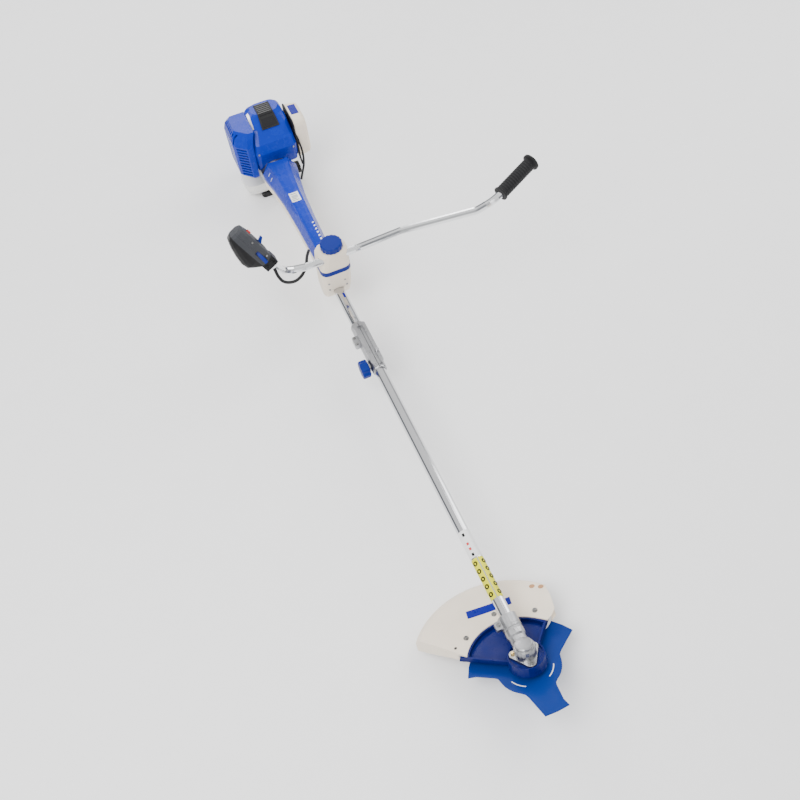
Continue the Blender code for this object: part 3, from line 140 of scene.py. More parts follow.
def relief(tree, height, strength, depth):
    bump = tree.nodes.new("ShaderNodeBump")
    bump.inputs["Strength"].default_value = strength
    bump.inputs["Distance"].default_value = depth
    tree.links.new(height, bump.inputs["Height"])
    return bump


def finish(name, colour, roughness, metallic=0.0, tone=0.10, rough_spread=0.06,
           grain=(900.0, 0.05), stretch=(1, 1, 1), coat=0.0, sheen=0.0, dust=0.0, speck=None,
           subsurface=0.0, lumps=None, specular=0.5):
    """A moulded, painted or metal surface: tone and gloss drift, dust, and fine grain in relief.

    grain and lumps give (scale, strength); speck gives (scale, amount, colour).
    """
    made, tree, shader = shader_of(name)
    coords = tree.nodes.new("ShaderNodeTexCoord").outputs["Object"]
    drift = noise(tree, coords, TONE_SCALE, 5.0, 0.6, stretch)
    base = mixed(tree, ranged(tree, drift, 0.0, 1.0), scaled(colour, 1.0 - tone),
                 scaled(colour, 1.0 + tone))
    if speck:
        spots = noise(tree, coords, speck[0], 2.0, 0.5, stretch)
        base = mixed(tree, ranged(tree, spots, 0.0, speck[1], 0.58, 0.72), base, speck[2])
    if dust:
        film = noise(tree, coords, DUST_SCALE, 6.0, 0.7)
        base = mixed(tree, ranged(tree, film, 0.0, dust, 0.45, 0.8), base, DUST_COLOUR)
    tree.links.new(base, shader.inputs["Base Color"])
    gloss = noise(tree, coords, TONE_SCALE * GLOSS_SHARE, 6.0, 0.65, stretch)
    low = max(LEAST_ROUGHNESS, roughness - rough_spread)
    high = min(1.0, roughness + rough_spread)
    tree.links.new(ranged(tree, gloss, low, high), shader.inputs["Roughness"])
    shader.inputs["Metallic"].default_value = metallic
    shader.inputs["Specular IOR Level"].default_value = specular
    shader.inputs["Coat Weight"].default_value = coat
    shader.inputs["Coat Roughness"].default_value = COAT_ROUGHNESS
    shader.inputs["Sheen Weight"].default_value = sheen
    if subsurface:
        shader.inputs["Subsurface Weight"].default_value = subsurface
        shader.inputs["Subsurface Radius"].default_value = SCATTER
        shader.inputs["Subsurface Scale"].default_value = 0.5
    bump = relief(tree, noise(tree, coords, grain[0], 3.0, 0.5, stretch), grain[1], GRAIN_DEPTH)
    if lumps:
        broad = relief(tree, noise(tree, coords, lumps[0], 2.0, 0.5), lumps[1], LUMP_DEPTH)
        tree.links.new(broad.outputs["Normal"], bump.inputs["Normal"])
    tree.links.new(bump.outputs["Normal"], shader.inputs["Normal"])
    return made


BLUE = (0.001, 0.022, 0.360)
FINISH = {
    "blue_plastic": finish("blue_gloss", BLUE, 0.26, tone=0.08, grain=(520.0, 0.035), coat=0.04,
                           specular=0.16, lumps=(40.0, 0.05)),
    "blue_knob": finish("blue_satin", (0.001, 0.014, 0.190), 0.42, tone=0.08, specular=0.18,
                        grain=(1500.0, 0.12)),
    "blue_guard": finish("blue_mount", (0.001, 0.006, 0.105), 0.30, tone=0.12, specular=0.16,
                         grain=(1300.0, 0.12), lumps=(60.0, 0.06)),
    "blue_paint": finish("blue_enamel", (0.001, 0.024, 0.185), 0.34, tone=0.07, specular=0.16,
                         grain=(700.0, 0.05), speck=(420.0, 0.06, (0.05, 0.12, 0.34)),
                         lumps=(90.0, 0.05)),
    "cream_plastic": finish("cream_moulded", (0.840, 0.740, 0.610), 0.42, tone=0.035, dust=0.03,
                            specular=0.3, grain=(1700.0, 0.14), subsurface=0.04),
    "tank_plastic": finish("tank_moulded", (0.800, 0.795, 0.760), 0.36, tone=0.04, subsurface=0.25,
                           grain=(1100.0, 0.10), lumps=(55.0, 0.06)),
    "black_plastic": finish("black_moulded", (0.012, 0.012, 0.013), 0.46, tone=0.20, specular=0.22,
                            grain=(1900.0, 0.22)),
    "grey_plastic": finish("grey_moulded", (0.040, 0.042, 0.048), 0.48, tone=0.12, specular=0.25,
                           grain=(1900.0, 0.20)),
    "rubber": finish("soft_rubber", (0.010, 0.010, 0.011), 0.68, tone=0.22, sheen=0.08,
                     specular=0.2, grain=(2400.0, 0.35)),
    "red_plastic": finish("red_moulded", (0.520, 0.018, 0.015), 0.34, tone=0.10,
                          grain=(1500.0, 0.10)),
    "chrome": finish("bright_tube", (0.620, 0.622, 0.635), 0.11, metallic=1.0, tone=0.03,
                     rough_spread=0.05, grain=(90.0, 0.010), stretch=(1, 0.06, 1)),
    "cast_aluminium": finish("die_cast", (0.400, 0.402, 0.412), 0.33, metallic=1.0, tone=0.07,
                             rough_spread=0.10, grain=(1100.0, 0.22), lumps=(260.0, 0.10)),
    "steel": finish("machined_steel", (0.500, 0.500, 0.515), 0.30, metallic=1.0, tone=0.08,
                    rough_spread=0.09, grain=(700.0, 0.08), stretch=(1, 1, 7)),
    "cast_iron": finish("sooted_iron", (0.090, 0.084, 0.080), 0.62, metallic=0.8, tone=0.25,
                        rough_spread=0.12, grain=(700.0, 0.35), lumps=(180.0, 0.2)),
    "brass": finish("turned_brass", (0.780, 0.560, 0.240), 0.27, metallic=1.0, tone=0.08,
                    grain=(900.0, 0.08)),
    "ceramic": finish("glazed_white", (0.850, 0.840, 0.800), 0.18, tone=0.04, coat=0.5,
                      grain=(500.0, 0.03)),
}
BAR_CHROME = finish("bright_bar", (0.800, 0.805, 0.815), 0.12, metallic=1.0, tone=0.03,
                    rough_spread=0.05, grain=(140.0, 0.012))
# Painted shade: a flat dark colour laid where a hole or slot in a face would be in shade.
PAINTED_SHADE = finish("hole_and_slot_shade", (0.010, 0.010, 0.012), 0.60, tone=0.25, grain=(1600.0, 0.2))
WHITE_PRINT = finish("white_print", (0.820, 0.820, 0.815), 0.34, tone=0.03, grain=(1200.0, 0.05))
YELLOW_PRINT = finish("yellow_print", (0.700, 0.680, 0.008), 0.34, tone=0.06, specular=0.2,
                      grain=(1200.0, 0.05), dust=0.04)
BLACK_PRINT = finish("black_print", (0.010, 0.010, 0.011), 0.34, specular=0.2, tone=0.15,
                     grain=(1200.0, 0.05))
RED_PRINT = finish("red_print", (0.560, 0.030, 0.030), 0.34, tone=0.08, grain=(1200.0, 0.05))
GREY_PRINT = finish("grey_print", (0.450, 0.460, 0.480), 0.40, tone=0.06, grain=(1200.0, 0.05))
BLUE_PRINT = finish("blue_print", (0.006, 0.010, 0.230), 0.30, tone=0.05, specular=0.16,
                    grain=(1200.0, 0.05))
SILVER = finish("silver_trim", (0.720, 0.720, 0.700), 0.30, metallic=0.6, tone=0.05,
                grain=(1100.0, 0.08))
TAN = finish("tan_plug", (0.420, 0.220, 0.100), 0.52, tone=0.10, grain=(1500.0, 0.15))
ZINC = finish("zinc_screw", (0.300, 0.300, 0.295), 0.30, metallic=1.0, tone=0.10,
              rough_spread=0.08, grain=(900.0, 0.12))
GLOSS_BLACK = finish("gloss_black", (0.008, 0.008, 0.010), 0.12, tone=0.15, specular=0.3,
                     grain=(400.0, 0.02))

SLOT_OF = {part["node"]: part["material_slot"] for part in frame["record"]["subparts"]}
GRIP_GREY = (0.040, 0.042, 0.048)
PAD_BLACK = (0.008, 0.008, 0.009)
PAD_BORDER = -0.0150                   # the pad lies below this place on the throttle's X
PAD_SEAM = 0.0003                      # half the width over which one turns into the other


def two_tone_grip():
    """The throttle's outer shell: hard plastic near the middle, a soft pad along its outer side."""
    made, tree, shader = shader_of("grip_pad")
    coords = tree.nodes.new("ShaderNodeTexCoord").outputs["Object"]
    project = tree.nodes.new("ShaderNodeVectorMath")
    project.operation = 'DOT_PRODUCT'
    project.inputs[1].default_value = THROTTLE_X
    tree.links.new(coords, project.inputs[0])
    border = THROTTLE.translation.dot(THROTTLE_X) + PAD_BORDER
    hard = ranged(tree, project.outputs["Value"], 0.0, 1.0, border - PAD_SEAM, border + PAD_SEAM)
    drift = noise(tree, coords, 30.0, 5.0, 0.6)
    soft = mixed(tree, ranged(tree, drift, 0.0, 1.0), scaled(PAD_BLACK, 0.8),
                 scaled(PAD_BLACK, 1.25))
    tree.links.new(mixed(tree, hard, soft, GRIP_GREY), shader.inputs["Base Color"])
    gloss = noise(tree, coords, 90.0, 5.0, 0.6)
    tree.links.new(ranged(tree, gloss, 0.34, 0.52), shader.inputs["Roughness"])
    shader.inputs["Specular IOR Level"].default_value = 0.22
    bump = relief(tree, noise(tree, coords, 1900.0, 3.0, 0.5), 0.22, GRAIN_DEPTH)
    tree.links.new(bump.outputs["Normal"], shader.inputs["Normal"])
    return made


def dress(name, material):
    obj = NODES[name]
    obj.data.materials.clear()
    obj.data.materials.append(material)


for node_name in NODES:
    dress(node_name, FINISH[SLOT_OF[node_name]])
dress("handlebar", BAR_CHROME)
dress("throttle_shell_outer", two_tone_grip())

WELD_REACH = 0.00001
SHARP_EDGE = math.radians(24.0)        # only edges that turn by more than this are rounded


def soften(name, width):
    """Round a node's moulded edges inwards, as a modifier on the CAD mesh."""
    obj = NODES[name]
    weld = obj.modifiers.new("weld", 'WELD')
    weld.merge_threshold = WELD_REACH
    bevel = obj.modifiers.new("edges", 'BEVEL')
    bevel.width = width
    bevel.segments = 3
    bevel.limit_method = 'ANGLE'
    bevel.angle_limit = SHARP_EDGE
    bevel.use_clamp_overlap = True


# ---- mesh pieces ---------------------------------------------------------------------------
def piece(name, shape, material, body, place=None, crease=32.0):
    """A mesh object that rides on a CAD body, if one is named; place carries it to the frame."""
    vertices, faces = shape
    mesh = bpy.data.meshes.new(name)
    mesh.from_pydata([tuple(v) for v in vertices], [], faces)
    work = bmesh.new()
    work.from_mesh(mesh)
    bmesh.ops.recalc_face_normals(work, faces=work.faces)
    work.to_mesh(mesh)
    work.free()
    mesh.transform(place if place is not None else MACHINE)
    mesh.shade_smooth()
    mesh.set_sharp_from_angle(angle=math.radians(crease))
    made = bpy.data.objects.new(name, mesh)
    bpy.context.collection.objects.link(made)
    made.data.materials.append(material)
    if body:
        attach(made, body)
    return made


def loft(rings):
    """A solid through rings of equally many points, with flat ends."""
    count = len(rings[0])
    vertices = [Vector(point) for ring in rings for point in ring]
    faces = []
    for level in range(len(rings) - 1):
        low = level * count
        high = low + count
        for i in range(count):
            j = (i + 1) % count
            faces.append((low + i, low + j, high + j, high + i))
    faces.append(tuple(reversed(range(count))))
    top = (len(rings) - 1) * count
    faces.append(tuple(range(top, top + count)))
    return vertices, faces


def merge(*shapes):
    vertices = []
    faces = []
    for more_vertices, more_faces in shapes:
        base = len(vertices)
        vertices += more_vertices
        faces += [tuple(base + i for i in face) for face in more_faces]
    return vertices, faces


def moved(shape, place):
    return [place @ Vector(v) for v in shape[0]], shape[1]


def circle(radius, count):
    step = 2 * math.pi / count
    return [(radius * math.cos(i * step), radius * math.sin(i * step)) for i in range(count)]


def turned(profile, count):
    """A solid turned about local Z from (radius, height) points, bottom to top."""
    return loft([[(x, y, height) for x, y in circle(radius, count)] for radius, height in profile])


def slab(x0, x1, y0, y1, z0, z1, edge=0.0006):
    """A box whose top edges are eased."""
    def ring(inset, z):
        return [(x1 - inset, y1 - inset, z), (x0 + inset, y1 - inset, z),
                (x0 + inset, y0 + inset, z), (x1 - inset, y0 + inset, z)]
    return loft([ring(0.0, z0), ring(0.0, z1 - edge), ring(edge, z1)])


def tube_curve(name, points, radius, material, body):
    """A round cord along points in machine coordinates."""
    curve = bpy.data.curves.new(name, 'CURVE')
    curve.dimensions = '3D'
    curve.bevel_depth = radius
    curve.bevel_resolution = 4
    curve.use_fill_caps = True
    spline = curve.splines.new('POLY')
    spline.points.add(len(points) - 1)
    for point, where in zip(spline.points, points):
        point.co = (*(MACHINE @ Vector(where)), 1.0)
    spline.use_smooth = True
    made = bpy.data.objects.new(name, curve)
    bpy.context.collection.objects.link(made)
    made.data.materials.append(material)
    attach(made, body)
    return made


def smooth_route(knots, count):
    """Points at equal steps of a Catmull-Rom curve through the knots."""
    knots = [Vector(k) for k in knots]
    ends = [2 * knots[0] - knots[1]] + knots + [2 * knots[-1] - knots[-2]]
    fine = []
    steps = 20
    for a, b, c, d in zip(ends, ends[1:], ends[2:], ends[3:]):
        for i in range(steps):
            t = i / steps
            fine.append(0.5 * (2 * b + (c - a) * t + (2 * a - 5 * b + 4 * c - d) * t * t
                               + (3 * b - a - 3 * c + d) * t * t * t))
    fine.append(knots[-1])
    lengths = [0.0]
    for p, q in zip(fine, fine[1:]):
        lengths.append(lengths[-1] + (q - p).length)
    points = []
    index = 0
    for i in range(count):
        want = lengths[-1] * i / (count - 1)
        while index < len(fine) - 2 and lengths[index + 1] < want:
            index += 1
        span = lengths[index + 1] - lengths[index]
        points.append(fine[index].lerp(fine[index + 1], (want - lengths[index]) / span))
    return points


def facing(where, normal, up=(0, 0, 1)):
    """A placement whose local +Z is the normal; where and normal are in the frame."""
    z = Vector(normal).normalized()
    x = Vector(up).cross(z)
    if x.length < 0.05:
        x = Vector((1, 0, 0)).cross(z)
    x.normalize()
    return Matrix.Translation(where) @ Matrix((x, z.cross(x), z)).transposed().to_4x4()


TREES = {}


def surface(node, start, direction):
    """Where a ray from a frame point meets a CAD node: its place and outward normal."""
    if node not in TREES:
        source = NODES[node].data
        TREES[node] = BVHTree.FromPolygons([v.co for v in source.vertices],
                                           [tuple(p.vertices) for p in source.polygons])
    place, normal, _, _ = TREES[node].ray_cast(Vector(start), Vector(direction).normalized())
    if place is None:
        raise RuntimeError(f"no surface of {node} from {tuple(start)}")
    if normal.dot(Vector(direction)) > 0:
        normal = -normal
    return place, normal


SCREW_SIDES = 24
WASHER_THICK = 0.0009


def socket_head(radius, lift):
    """A cylinder head with a blind socket; lift is the height of its seat."""
    head = radius * 0.9
    outer = [(radius * 0.96, lift), (radius, lift + 0.0004), (radius, lift + head * 0.75),
             (radius * 0.86, lift + head)]
    rings = [[(x, y, z) for x, y in circle(r, SCREW_SIDES)] for r, z in outer]
    socket = circle(radius * 0.52, SCREW_SIDES)
    rings.append([(x, y, lift + head) for x, y in socket])
    rings.append([(x * 0.93, y * 0.93, lift + head * 0.35) for x, y in socket])
    return [loft(rings)]


def cross_head(radius):
    """A domed head with a raised cross."""
    head = radius * 0.9
    dome = [(radius, 0.0), (radius, head * 0.35), (radius * 0.85, head * 0.62),
            (radius * 0.45, head * 0.74)]
    parts = [turned(dome, SCREW_SIDES)]
    bar = radius * 0.16
    for turn in (0.0, math.pi / 2):
        cross = slab(-radius * 0.55, radius * 0.55, -bar, bar, head * 0.70, head * 0.76, 0.00005)
        parts.append(moved(cross, Matrix.Rotation(turn, 4, 'Z')))
    return parts


def screw(name, node, start, direction, body, radius, drive="socket"):
    """A screw head where a line from start meets a CAD node; a socket head has a washer."""
    place, normal = surface(node, start, direction)
    if drive == "socket":
        washer = turned([(radius * 1.5, -0.0006), (radius * 1.5, 0.0006),
                         (radius * 1.42, WASHER_THICK)], 28)
        parts = [washer] + socket_head(radius, WASHER_THICK)
    else:
        parts = cross_head(radius)
    return piece(name, merge(*parts), ZINC, body, facing(place, normal))


def patch(name, node, outline_rows, direction, material, body, lift=0.00025, thick=0.00035,
          place=None):
    """A thin plate or print that follows a CAD node; outline_rows is a grid of points above it."""
    matrix = place if place is not None else MACHINE
    ray = (matrix.to_3x3() @ Vector(direction)).normalized()
    grid = []
    for row in outline_rows:
        line = []
        for point in row:
            where, _ = surface(node, matrix @ Vector(point), ray)
            line.append(where - ray * lift)
        grid.append(line)
    rows, columns = len(grid), len(grid[0])
    low = [p for line in grid for p in line]
    high = [p - ray * thick for p in low]
    vertices = low + high
    offset = len(low)
    faces = []
    for i in range(rows - 1):
        for j in range(columns - 1):
            a = i * columns + j
            quad = (a, a + 1, a + columns + 1, a + columns)
            faces.append(tuple(reversed(quad)))
            faces.append(tuple(offset + k for k in quad))
    rim = ([j for j in range(columns)] + [i * columns + columns - 1 for i in range(1, rows)]
           + [(rows - 1) * columns + j for j in range(columns - 2, -1, -1)]
           + [i * columns for i in range(rows - 2, 0, -1)])
    for a, b in zip(rim, rim[1:] + rim[:1]):
        faces.append((a, b, offset + b, offset + a))
    return piece(name, (vertices, faces), material, body, Matrix.Identity(4))


def quad_rows(a, b, c, d, rows, columns, height):
    """A grid between four plan corners a, b (first row) and d, c (last row), at one height."""
    grid = []
    for i in range(rows):
        left = Vector(a).lerp(Vector(d), i / (rows - 1))
        right = Vector(b).lerp(Vector(c), i / (rows - 1))
        grid.append([(*left.lerp(right, j / (columns - 1)), height) for j in range(columns)])
    return grid


def box_rows(x0, x1, y0, y1, rows, columns, height):
    """The same for a rectangle along X and Y."""
    return quad_rows((x0, y0), (x1, y0), (x1, y1), (x0, y1), rows, columns, height)


def oval_rows(centre, long_half, short_half, turn, height):
    """A grid squeezed into an oval, in plan."""
    rows, columns = 5, 9
    grid = []
    for i in range(rows):
        v = -1 + 2 * i / (rows - 1)
        line = []
        for j in range(columns):
            u = -1 + 2 * j / (columns - 1)
            x = u * math.sqrt(1 - v * v / 2) * long_half
            y = v * math.sqrt(1 - u * u / 2) * short_half
            line.append((centre[0] + x * math.cos(turn) - y * math.sin(turn),
                         centre[1] + x * math.sin(turn) + y * math.cos(turn), height))
        grid.append(line)
    return grid


# ---- camera, light and floor -----------------------------------------------------------------
CAMERA_AT = Vector((-0.3323, -0.6097, 1.9229))
CAMERA_RIGHT = Vector((0.9193, -0.3819, -0.0950))
CAMERA_DOWN = Vector((-0.3655, -0.7391, -0.5658))
LENS = 43.64


def camera():
    right = CAMERA_RIGHT.normalized()
    up = -(CAMERA_DOWN - right * CAMERA_DOWN.dot(right)).normalized()
    made = bpy.data.cameras.new("camera")
    made.sensor_width = 36.0
    made.lens = LENS
    made.clip_start = 0.05
    seat = bpy.data.objects.new("camera", made)
    bpy.context.collection.objects.link(seat)
    seat.matrix_world = (Matrix.Translation(APEX + CAMERA_AT)
                         @ Matrix((right, up, right.cross(up))).transposed().to_4x4())
    bpy.context.scene.camera = seat


# name, place, target, width and length, power in watts
LIGHTS = (("key", (-1.6, -1.2, 3.0), (0, 0, 0.1), (1.6, 2.4), 118.0),
          ("fill", (2.2, 0.6, 2.2), (0, 0.2, 0.1), (1.4, 2.2), 44.0),
          ("rim", (-0.6, 2.8, 1.8), (-0.1, 0.6, 0.1), (2.4, 0.8), 36.0))
SKY_LOW = (0.16, 0.17, 0.19)
SKY_HIGH = (1.0, 1.0, 1.0)
SKY_RISE = (0.12, 0.62)                # the sine of the heights between which the sky brightens
SKY_STRENGTH = 1.25
FLOOR_REACH = 9.0
FLOOR_Z = -0.0006
FLOOR_COLOUR = (0.960, 0.960, 0.962)


def area_light(name, where, target, size, power):
    """A rectangular lamp at a frame point, turned to its target."""
    light = bpy.data.lights.new(name, 'AREA')
    light.shape = 'RECTANGLE'
    light.size, light.size_y = size
    light.energy = power
    lamp = bpy.data.objects.new(name, light)
    bpy.context.collection.objects.link(lamp)
    lamp.location = where
    lamp.rotation_euler = (Vector(target) - Vector(where)).to_track_quat('-Z', 'Y').to_euler()


def studio():
    world = bpy.data.worlds.new("studio")
    bpy.context.scene.world = world
    world.use_nodes = True
    tree = world.node_tree
    background = tree.nodes["Background"]
    split = tree.nodes.new("ShaderNodeSeparateXYZ")
    tree.links.new(tree.nodes.new("ShaderNodeTexCoord").outputs["Generated"], split.inputs[0])
    height = ranged(tree, split.outputs["Z"], 0.0, 1.0, *SKY_RISE)
    tree.links.new(mixed(tree, height, SKY_LOW, SKY_HIGH), background.inputs["Color"])
    background.inputs["Strength"].default_value = SKY_STRENGTH
    for light in LIGHTS:
        area_light(*light)
    mesh = bpy.data.meshes.new("floor")
    corners = ((-1, -1), (1, -1), (1, 1), (-1, 1))
    mesh.from_pydata([(x * FLOOR_REACH, y * FLOOR_REACH, FLOOR_Z) for x, y in corners], [],
                     [(0, 1, 2, 3)])
    floor = bpy.data.objects.new("floor", mesh)
    bpy.context.collection.objects.link(floor)
    floor.data.materials.append(finish("studio_floor", FLOOR_COLOUR, 0.80, tone=0.01,
                                       grain=(300.0, 0.02)))


# ---- gear head and guard ---------------------------------------------------------------------
ABOVE = 0.0600                         # the height over the guard from which prints are laid
FLANGE_SCREWS = ((-90.0, 0.0290), (30.0, 0.0285))      # angle and reach about the blade's axis
CLAMP_SCREW_AT = Vector((-0.0245, 0.0765, 0.0500))
CAP_RIM = ((0.0150, 0.0355), (0.0162, 0.0356), (0.0162, 0.0360), (0.0150, 0.0362))
NECK_BEADS = (0.0625, 0.0670)          # their places along the tube
GUARD_SCREWS = (("left", -0.0900, 0.1090), ("middle", -0.0120, 0.1390), ("right", 0.0680, 0.1030))
GUARD_LABEL = ((-0.0670, 0.1530), (0.0330, 0.1440), (0.0360, 0.1620), (-0.0640, 0.1720))
GUARD_SLOTS = ((0.0900, 0.1605), (0.1060, 0.1490))
GUARD_SLOT_TURN = -0.35
GUARD_HOLE = (-0.1200, 0.0935)
BLADE_ARCS = ((200.0, 238.0), (300.0, 338.0))          # in degrees about the blade's axis
BLADE_ARC_RADII = (0.0492, 0.0512)
BLADE_ARC_STEPS = 14


def gear_head():
    for index, (angle, reach) in enumerate(FLANGE_SCREWS):
        where = HEAD @ Vector((reach * math.cos(math.radians(angle)),
                               reach * math.sin(math.radians(angle)), ABOVE))
        screw(f"flange_screw_{index}", "gearcase", where, -HEAD_AXIS, "lower_unit", 0.0032)
    screw("clamp_screw", "gearcase", MACHINE @ CLAMP_SCREW_AT, DOWN, "lower_unit", 0.0034)
    piece("cap_rim", turned(CAP_RIM, 40), FINISH["cast_aluminium"], "lower_unit", HEAD)
    for index, y in enumerate(NECK_BEADS):
        bead = turned([(0.0150, y), (0.0216, y + 0.0002), (0.0216, y + 0.0012),
                       (0.0150, y + 0.0014)], 40)
        piece(f"neck_bead_{index}", bead, FINISH["cast_aluminium"], "lower_unit",
              MACHINE @ Matrix.Rotation(-math.pi / 2, 4, 'X'))


def head_print(name, node, rows, material, body="lower_unit"):
    """A print or mark on the guard or the blade, from rows in head coordinates."""
    patch(name, node, rows, DOWN, material, body, place=HEAD)


def guard():
    for name, x, y in GUARD_SCREWS:
        screw(f"guard_screw_{name}", "guard_skirt", HEAD @ Vector((x, y, ABOVE)), -HEAD_AXIS,
              "lower_unit", 0.0040)
    head_print("guard_label", "guard_skirt", quad_rows(*GUARD_LABEL, 4, 12, ABOVE), BLUE_PRINT)
    for index, centre in enumerate(GUARD_SLOTS):
        rows = oval_rows(centre, 0.0064, 0.0052, GUARD_SLOT_TURN, ABOVE)
        head_print(f"guard_slot_{index}", "guard_skirt", rows, TAN)
    # The guard's hole is drawn as a flat dark oval of painted shade on the skirt.
    head_print("guard_hole_shade", "guard_skirt", oval_rows(GUARD_HOLE, 0.0034, 0.0028, 0.6, ABOVE),
               PAINTED_SHADE)
    for index, (start, end) in enumerate(BLADE_ARCS):
        angles = [math.radians(start + (end - start) * k / BLADE_ARC_STEPS)
                  for k in range(BLADE_ARC_STEPS + 1)]
        rows = [[(radius * math.cos(angle), radius * math.sin(angle), 0.0) for angle in angles]
                for radius in BLADE_ARC_RADII]
        head_print(f"blade_arc_{index}", "blade", rows, WHITE_PRINT, "blade_rotor")


# ---- shaft -------------------------------------------------------------------------------------
PRINT_THICK = 0.0003
PRINT_R = TUBE_R + 0.0001              # the inside of a print round the tube
YELLOW_BAND = (0.1320, 0.2320)         # places along the tube
WHITE_BAND = (0.2350, 0.3030)
# side, the yellow print's first and last angle round the tube, and the angle of its dots
YELLOW_PRINTS = (("left", 98, 175, 134.0), ("right", 8, 88, 46.0))
DOTS = 5
DOT_LEAD = 0.6                         # in spacings: before the first dot's middle
DOT_SPARE = 0.2
DOT_LIFT = 0.00005
DOT = ((0.0056, -0.0004), (0.0056, 0.0004), (0.0052, 0.0005), (0.0026, 0.0005), (0.0024, 0.0001))
BLUE_MARK = (1.0500, 1.0660)
WHITE_MARKS = ((0.2380, 0.0070, BLACK_PRINT), (0.2530, 0.0060, RED_PRINT),
               (0.2660, 0.0060, RED_PRINT), (0.2880, 0.0080, BLACK_PRINT))


def wrap(name, start, end, radius, from_degrees, to_degrees, material, body, steps):
    """A print round the drive tube between two places along it."""
    outside = radius + PRINT_THICK
    from_angle, to_angle = math.radians(from_degrees), math.radians(to_degrees)
    rings = []
    for i in range(steps + 1):
        angle = from_angle + (to_angle - from_angle) * i / steps
        c, s = math.cos(angle), math.sin(angle)
        rings.append([(outside * c, start, outside * s), (outside * c, end, outside * s),
                      (radius * c, end, radius * s), (radius * c, start, radius * s)])
    piece(name, loft(rings), material, body)


def shaft_prints():
    start, end = YELLOW_BAND
    for side, first, last, _ in YELLOW_PRINTS:
        wrap(f"band_{side}", start, end, PRINT_R, first, last, YELLOW_PRINT, "lower_unit", 18)
    dot = loft([[(x, y, z) for x, y in circle(radius, 24)] for radius, z in DOT])
    for side, _, _, middle in YELLOW_PRINTS:
        angle = math.radians(middle)
        out = Vector((math.cos(angle), 0, math.sin(angle)))
        for index in range(DOTS):
            y = start + (end - start) * (index + DOT_LEAD) / (DOTS + DOT_SPARE)
            where = MACHINE @ (out * (PRINT_R + DOT_LIFT) + Vector((0, y, 0)))
            piece(f"band_dot_{side}_{index}", dot, BLACK_PRINT, "lower_unit",
                  facing(where, out, (0, 1, 0)))
    start, end = WHITE_BAND
    wrap("white_band", start, end, PRINT_R, 10, 170, WHITE_PRINT, "lower_unit", 28)
    for index, (y, length, material) in enumerate(WHITE_MARKS):
        wrap(f"white_mark_{index}", y, y + length, PRINT_R + PRINT_THICK, 100, 122, material,
             "lower_unit", 6)
    wrap("blue_mark", *BLUE_MARK, PRINT_R, 60, 84, BLUE_PRINT, "frame", 6)


SLEEVE_SCREWS = ((-0.0240, 0.8900), (-0.0240, 0.9110))
ABOVE_SLEEVE = 0.08
KNOB_HUB = ((0.0100, 0.0), (0.0100, 0.0002), (0.0086, 0.0003), (0.0020, 0.0003))


def coupler():
    for index, (x, y) in enumerate(SLEEVE_SCREWS):
        screw(f"sleeve_screw_{index}", "coupling_sleeve", MACHINE @ Vector((x, y, ABOVE_SLEEVE)),
              DOWN, "frame", 0.0030)
    low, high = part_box("coupling_knob")
    where = Vector((low[0] - 0.0001, (low[1] + high[1]) / 2, (low[2] + high[2]) / 2))
    piece("coupling_knob_hub", turned(KNOB_HUB, 32), FINISH["blue_knob"], "shaft_knob",
          facing(where, (-1, 0, 0)))


# ---- bracket and handlebar ---------------------------------------------------------------------
BRACKET_SCREWS = ((-0.0235, 0.0440), (0.0205, 0.0410), (-0.0240, 0.0180), (0.0240, 0.0180))
BRACKET_FRONT = 1.0                    # a place along the tube before the bracket
KNOB_FACE = ((0.0205, -0.0012), (0.0205, -0.0001), (0.0196, 0.0000), (0.0190, -0.0004),
             (0.0060, -0.0004), (0.0020, -0.0004))


def bracket():
    for index, (x, z) in enumerate(BRACKET_SCREWS):
        screw(f"bracket_screw_{index}", "bracket_base", MACHINE @ Vector((x, BRACKET_FRONT, z)),
              (0, 1, 0), "frame", 0.0028, "cross")
    low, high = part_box("clamp_knob")
    centre = Vector(((low[0] + high[0]) / 2, (low[1] + high[1]) / 2, high[2]))
    piece("clamp_knob_face", turned(KNOB_FACE, 48), FINISH["blue_knob"], "bar_knob",
          Matrix.Translation(centre))


GRIP_START = Vector((0.4040, 0.9440, 0.2850))
GRIP_END = Vector((0.5110, 0.9900, 0.3060))
GRIP_RIBS = 13
RIB_START = 0.0120
RIB_PITCH = 0.0072


def left_grip():
    """Ribs round the rubber grip between its two collars."""
    place = facing(MACHINE @ GRIP_START, (GRIP_END - GRIP_START).normalized())
    for index in range(GRIP_RIBS):
        z = RIB_START + RIB_PITCH * index
        rib = turned([(0.0156, z), (0.0167, z + 0.0009), (0.0167, z + 0.0026),
                      (0.0156, z + 0.0035)], 36)
        piece(f"grip_rib_{index}", rib, FINISH["rubber"], "handlebar_unit", place)


THROTTLE_SCREWS = ((0.0100, 0.0350), (0.0110, 0.0880))
THROTTLE_FRONT = -0.0800               # before the grip, on its Y
CLAMP_FRONT = -0.0186                  # the clamp block's front face
CLAMP_CORNERS = ((0.0180, 0.0188), (-0.0178, 0.0188), (-0.0178, -0.0188), (0.0180, -0.0188))
CLAMP_LEVELS = ((0.94, 0.0002), (1.0, 0.0016), (1.0, 0.0225), (0.93, 0.0240))  # size and height
CLAMP_BOSSES = ((0.0105, 0.0060), (0.0105, 0.0170), (-0.0095, 0.0110))
BOSS = ((0.0042, 0.0), (0.0042, 0.0030), (0.0036, 0.0036), (0.0022, 0.0036), (0.0021, 0.0016))


def throttle():
    for index, (x, z) in enumerate(THROTTLE_SCREWS):
        screw(f"throttle_screw_{index}", "throttle_shell_inner",
              THROTTLE @ Vector((x, THROTTLE_FRONT, z)), THROTTLE_Y, "handlebar_unit", 0.0025,
              "cross")


